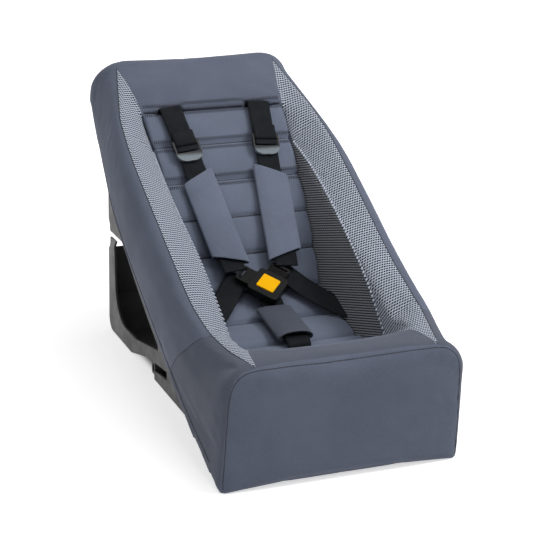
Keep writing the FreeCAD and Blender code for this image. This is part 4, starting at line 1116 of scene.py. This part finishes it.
def stitch_tree(material):
    """Node tree that sets one stitch on every marked point, lying along its mark."""
    tree = bpy.data.node_groups.new("stitch_rows", "GeometryNodeTree")
    tree.is_modifier = True
    tree.interface.new_socket("Geometry", in_out="INPUT", socket_type="NodeSocketGeometry")
    sizes = {}
    for label, number in (("Length", 0.0034), ("Thickness", 0.0009)):
        socket = tree.interface.new_socket(label, in_out="INPUT", socket_type="NodeSocketFloat")
        socket.default_value = number
        sizes[label] = socket.identifier
    tree.interface.new_socket("Geometry", in_out="OUTPUT", socket_type="NodeSocketGeometry")
    nodes, links = tree.nodes, tree.links
    given = nodes.new("NodeGroupInput")
    result = nodes.new("NodeGroupOutput")
    thread = nodes.new("GeometryNodeMeshUVSphere")
    thread.inputs["Segments"].default_value = 6
    thread.inputs["Rings"].default_value = 5
    thread.inputs["Radius"].default_value = 0.5
    shape = nodes.new("ShaderNodeCombineXYZ")
    for axis, label in enumerate(("Length", "Thickness", "Thickness")):
        links.new(given.outputs[label], shape.inputs[axis])
    directions = []
    for label in ("lies_along", "faces"):
        named = nodes.new("GeometryNodeInputNamedAttribute")
        named.data_type = "FLOAT_VECTOR"
        named.inputs["Name"].default_value = label
        directions.append(named.outputs["Attribute"])
    first = nodes.new("FunctionNodeAlignRotationToVector")
    first.axis = "X"
    links.new(directions[0], first.inputs["Vector"])
    second = nodes.new("FunctionNodeAlignRotationToVector")
    second.axis = "Z"
    second.pivot_axis = "X"
    links.new(first.outputs[0], second.inputs["Rotation"])
    links.new(directions[1], second.inputs["Vector"])
    spread = nodes.new("GeometryNodeInstanceOnPoints")
    links.new(given.outputs["Geometry"], spread.inputs["Points"])
    links.new(thread.outputs["Mesh"], spread.inputs["Instance"])
    links.new(second.outputs[0], spread.inputs["Rotation"])
    links.new(shape.outputs[0], spread.inputs["Scale"])
    real = nodes.new("GeometryNodeRealizeInstances")
    links.new(spread.outputs[0], real.inputs[0])
    finish = nodes.new("GeometryNodeSetMaterial")
    finish.inputs["Material"].default_value = material
    links.new(real.outputs[0], finish.inputs["Geometry"])
    links.new(finish.outputs[0], result.inputs[0])
    return tree, sizes


def stitch_rows(name, marks, lengths, material):
    """Stitches on marks of (point, direction, normal), made by the node tree and kept as a plain mesh."""
    mesh = bpy.data.meshes.new(name)
    mesh.from_pydata([mark[0] for mark in marks], [], [])
    set_vectors(mesh, "lies_along", [tuple(mark[1]) for mark in marks])
    set_vectors(mesh, "faces", [tuple(mark[2]) for mark in marks])
    piece = add_object(name, mesh)
    tree, sizes = stitch_tree(material)
    modifier = piece.modifiers.new("stitches", "NODES")
    modifier.node_group = tree
    modifier[sizes["Length"]], modifier[sizes["Thickness"]] = lengths
    settle(piece)
    if not piece.data.polygons:
        raise RuntimeError(f"{name} has no stitches")
    finish_skin(piece, None)


class SEAT_OT_stitches(bpy.types.Operator):
    """Rows of stitches on the back and along the ridges of the bolsters"""
    bl_idname = "seat.stitches"
    bl_label = "Stitches"

    def execute(self, context):
        fabrics, sewing = look()[:2]
        surface = surface_finder("quilted_liner_cover", "seat_cover")
        out = Vector((0, -math.sin(BACK_ANGLE), math.cos(BACK_ANGLE)))
        up = Vector((0, math.cos(BACK_ANGLE), math.sin(BACK_ANGLE)))
        marks = []
        for y, z, _ in channel_points()[:3]:
            for offset in (-sewing.row_offset, sewing.row_offset):
                start = Vector((-0.095, y * MM, z * MM)) + up * offset + out * 0.06
                steps = int(0.19 / sewing.pitch)
                starts = [start + Vector((step * sewing.pitch, 0, 0)) for step in range(steps + 1)]
                hits = dropped(surface, starts, -out)
                marks += [(spot + out * 0.0003, up, normal) for spot, normal in hits]
        stitch_rows("back_stitches", marks, (sewing.length, sewing.thickness),
                    thread_material("sewing_thread", fabrics.sewing))
        pale = thread_material("ridge_thread", lighter(fabrics.mesh_thread, 0.85))
        self.ridge(surface_finder("seat_cover"), sewing, pale)
        return {"FINISHED"}

    def ridge(self, cover, sewing, material):
        """Chain of pale stitches along the ridge of each bolster."""
        marks = []
        for _, side in SIDES:
            steps = int((RIDGE_ENDS[1] - RIDGE_ENDS[0]) * MM / sewing.ridge_pitch)
            places = np.linspace(*RIDGE_ENDS, steps) * MM
            starts = [(side * float(at_y(INNER_EDGE, y)), y, 0.6) for y in places]
            line = dropped(cover, starts, (0, 0, -1))
            spots = relaxed([point for point, _ in line])
            for here, after, (_, normal) in zip(spots, spots[1:], line):
                slant = (after - here).normalized() + Vector((side * 0.7, 0, 0))
                marks.append((here + normal * 0.0003, slant, normal))
        stitch_rows("ridge_stitches", marks, (sewing.ridge_length, sewing.ridge_thickness), material)


class SEAT_OT_plastics(bpy.types.Operator):
    """Materials of the stand, the pan, the buckle and the metal parts"""
    bl_idname = "seat.plastics"
    bl_label = "Plastic and metal"

    def execute(self, context):
        plastics = look()[2]
        shell = moulded_plastic("shell_plastic", plastics.shell, 0.5, 0.0004, 900, 0.45)
        black = moulded_plastic("black_plastic", plastics.buckle, 0.3, 0.0002, 1400, 0.1)
        gloss = moulded_plastic("polished_black_plastic", plastics.buckle, 0.22, 0.0001, 1400, 0.3)
        yellow = moulded_plastic("yellow_plastic", plastics.button, 0.45, 0.0002, 1200, 0.06)
        steel = plated_steel(plastics.steel)
        low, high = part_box("strap_adjuster_left")
        # painted highlight on the tabs of the adjusters
        paint_tab_highlight(gloss, low.z, (high.z - low.z) * 0.46)
        for name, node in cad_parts.items():
            if name in ("seat_pan", "stand_shell") or name.startswith("stand_side"):
                dress(node, shell)
            elif name.startswith("strap_adjuster"):
                dress(node, gloss)
            elif name.startswith(("buckle", "tie_down")):
                dress(node, black)
            elif name == "release_button":
                dress(node, yellow)
            elif name.startswith(("stand_screws", "button_spring")) or "anchor" in name:
                dress(node, steel)
        return {"FINISHED"}


def seen_directly(tree):
    """1 for rays from the camera and for mirrored ones."""
    path = tree.nodes.new("ShaderNodeLightPath")
    return calc(tree, "MAXIMUM", path.outputs["Is Camera Ray"], path.outputs["Is Glossy Ray"])


def aim(holder, at, direction):
    """Place a lamp or camera and turn it along a direction."""
    holder.location = at
    holder.rotation_mode = "QUATERNION"
    holder.rotation_quaternion = direction.to_track_quat("-Z", "Y")


class SEAT_OT_stage(bpy.types.Operator):
    """Floor, light and camera of the product picture"""
    bl_idname = "seat.stage"
    bl_label = "Stage"

    def execute(self, context):
        stage = look()[3]
        scene = context.scene
        scene.view_settings.view_transform = "Standard"
        self.floor()
        self.world(stage)
        centre = Vector((0, 0, 0.18))
        self.light("key_light", (1.3, -0.9, 1.95), centre, 1.0, stage.key_power)
        self.light("top_light", (0.0, -0.5, 2.4), centre, 1.2, stage.top_power)
        self.light("left_light", (-1.6, -1.1, 0.7), centre, 1.2, stage.left_power)
        camera = bpy.data.cameras.new("product_camera")
        camera.lens = stage.lens
        camera.sensor_width = 36
        camera.dof.use_dof = False
        taker = add_object("product_camera", camera)
        aim(taker, stage.camera_at, Vector(stage.looks_along))
        scene.camera = taker
        return {"FINISHED"}

    def floor(self):
        """Pale paper, white in the distance and unlit under the stand."""
        size = 30.0
        low = -0.0004
        mesh = bpy.data.meshes.new("floor")
        mesh.from_pydata([(-size, -size, low), (size, -size, low), (size, size, low), (-size, size, low)], [],
                         [(0, 1, 2, 3)])
        ground = add_object("floor", mesh)
        material, tree, shader = new_material("floor_paper")
        tone = ramp(tree, noise(tree, 3, 2), 0.3, 0.7)
        paper = mix_colour(tree, tone, (0.9, 0.9, 0.9), (0.93, 0.93, 0.93))
        tree.links.new(paper, shader.inputs["Base Color"])
        shader.inputs["Roughness"].default_value = 0.9
        seen = seen_directly(tree)
        x, y = object_axes(tree)[:2]
        far = calc(tree, "SQRT", calc(tree, "ADD", calc(tree, "POWER", x, 2.0), calc(tree, "POWER", y, 2.0)))
        shader.inputs["Emission Color"].default_value = (1, 1, 1, 1)
        glow = ramp(tree, far, 0.5, 2.5, 0.6, 0.95)
        under_x = ramp(tree, calc(tree, "ABSOLUTE", x), 0.095, 0.110, 1.0, 0.0)
        under_y = ramp(tree, calc(tree, "ABSOLUTE", calc(tree, "SUBTRACT", y, 0.045)), 0.24, 0.26, 1.0, 0.0)
        clear = calc(tree, "SUBTRACT", 1.0, calc(tree, "MULTIPLY", under_x, under_y))
        tree.links.new(calc(tree, "MULTIPLY", seen, calc(tree, "MULTIPLY", glow, clear)),
                       shader.inputs["Emission Strength"])
        dress(ground, material)

    def world(self, stage):
        """White background with a weak light from all round."""
        world = bpy.data.worlds.new("studio")
        bpy.context.scene.world = world
        world.use_nodes = True
        tree = world.node_tree
        background = tree.nodes["Background"]
        background.inputs["Color"].default_value = (1, 1, 1, 1)
        strength = ramp(tree, seen_directly(tree), 0.0, 1.0, stage.fill, 1.0)
        tree.links.new(strength, background.inputs["Strength"])

    def light(self, name, at, centre, size, power):
        """Square lamp turned to the seat."""
        lamp = bpy.data.lights.new(name, "AREA")
        lamp.size = size
        lamp.energy = power
        aim(add_object(name, lamp), at, centre - Vector(at))


class SEAT_PT_panel(bpy.types.Panel):
    """Sizes, colours and steps of the infant seat"""
    bl_label = "Infant seat"
    bl_idname = "SEAT_PT_panel"
    bl_space_type = "VIEW_3D"
    bl_region_type = "UI"
    bl_category = "Infant seat"

    def draw(self, context):
        for group in look():
            box = self.layout.box()
            for name in group.bl_rna.properties.keys():
                if name not in ("rna_type", "name"):
                    box.prop(group, name)
        for step in STEPS:
            self.layout.operator(step.bl_idname)


GROUPS = {"seat_fabrics": SeatFabrics, "seat_sewing": SeatSewing, "seat_plastics": SeatPlastics,
          "seat_stage": SeatStage}
STEPS = (SEAT_OT_cover, SEAT_OT_liner, SEAT_OT_pads, SEAT_OT_webbing, SEAT_OT_seams, SEAT_OT_stitches,
         SEAT_OT_plastics, SEAT_OT_stage)


def register():
    for group in (*GROUPS.values(), *STEPS, SEAT_PT_panel):
        bpy.utils.register_class(group)
    for name, group in GROUPS.items():
        setattr(bpy.types.Scene, name, PointerProperty(type=group))


def unregister():
    for name in GROUPS:
        delattr(bpy.types.Scene, name)
    for group in (SEAT_PT_panel, *reversed(STEPS), *reversed(GROUPS.values())):
        bpy.utils.unregister_class(group)


def main():
    register()
    for step in STEPS:
        family, name = step.bl_idname.split(".")
        getattr(getattr(bpy.ops, family), name)()


if __name__ == "__main__":
    main()
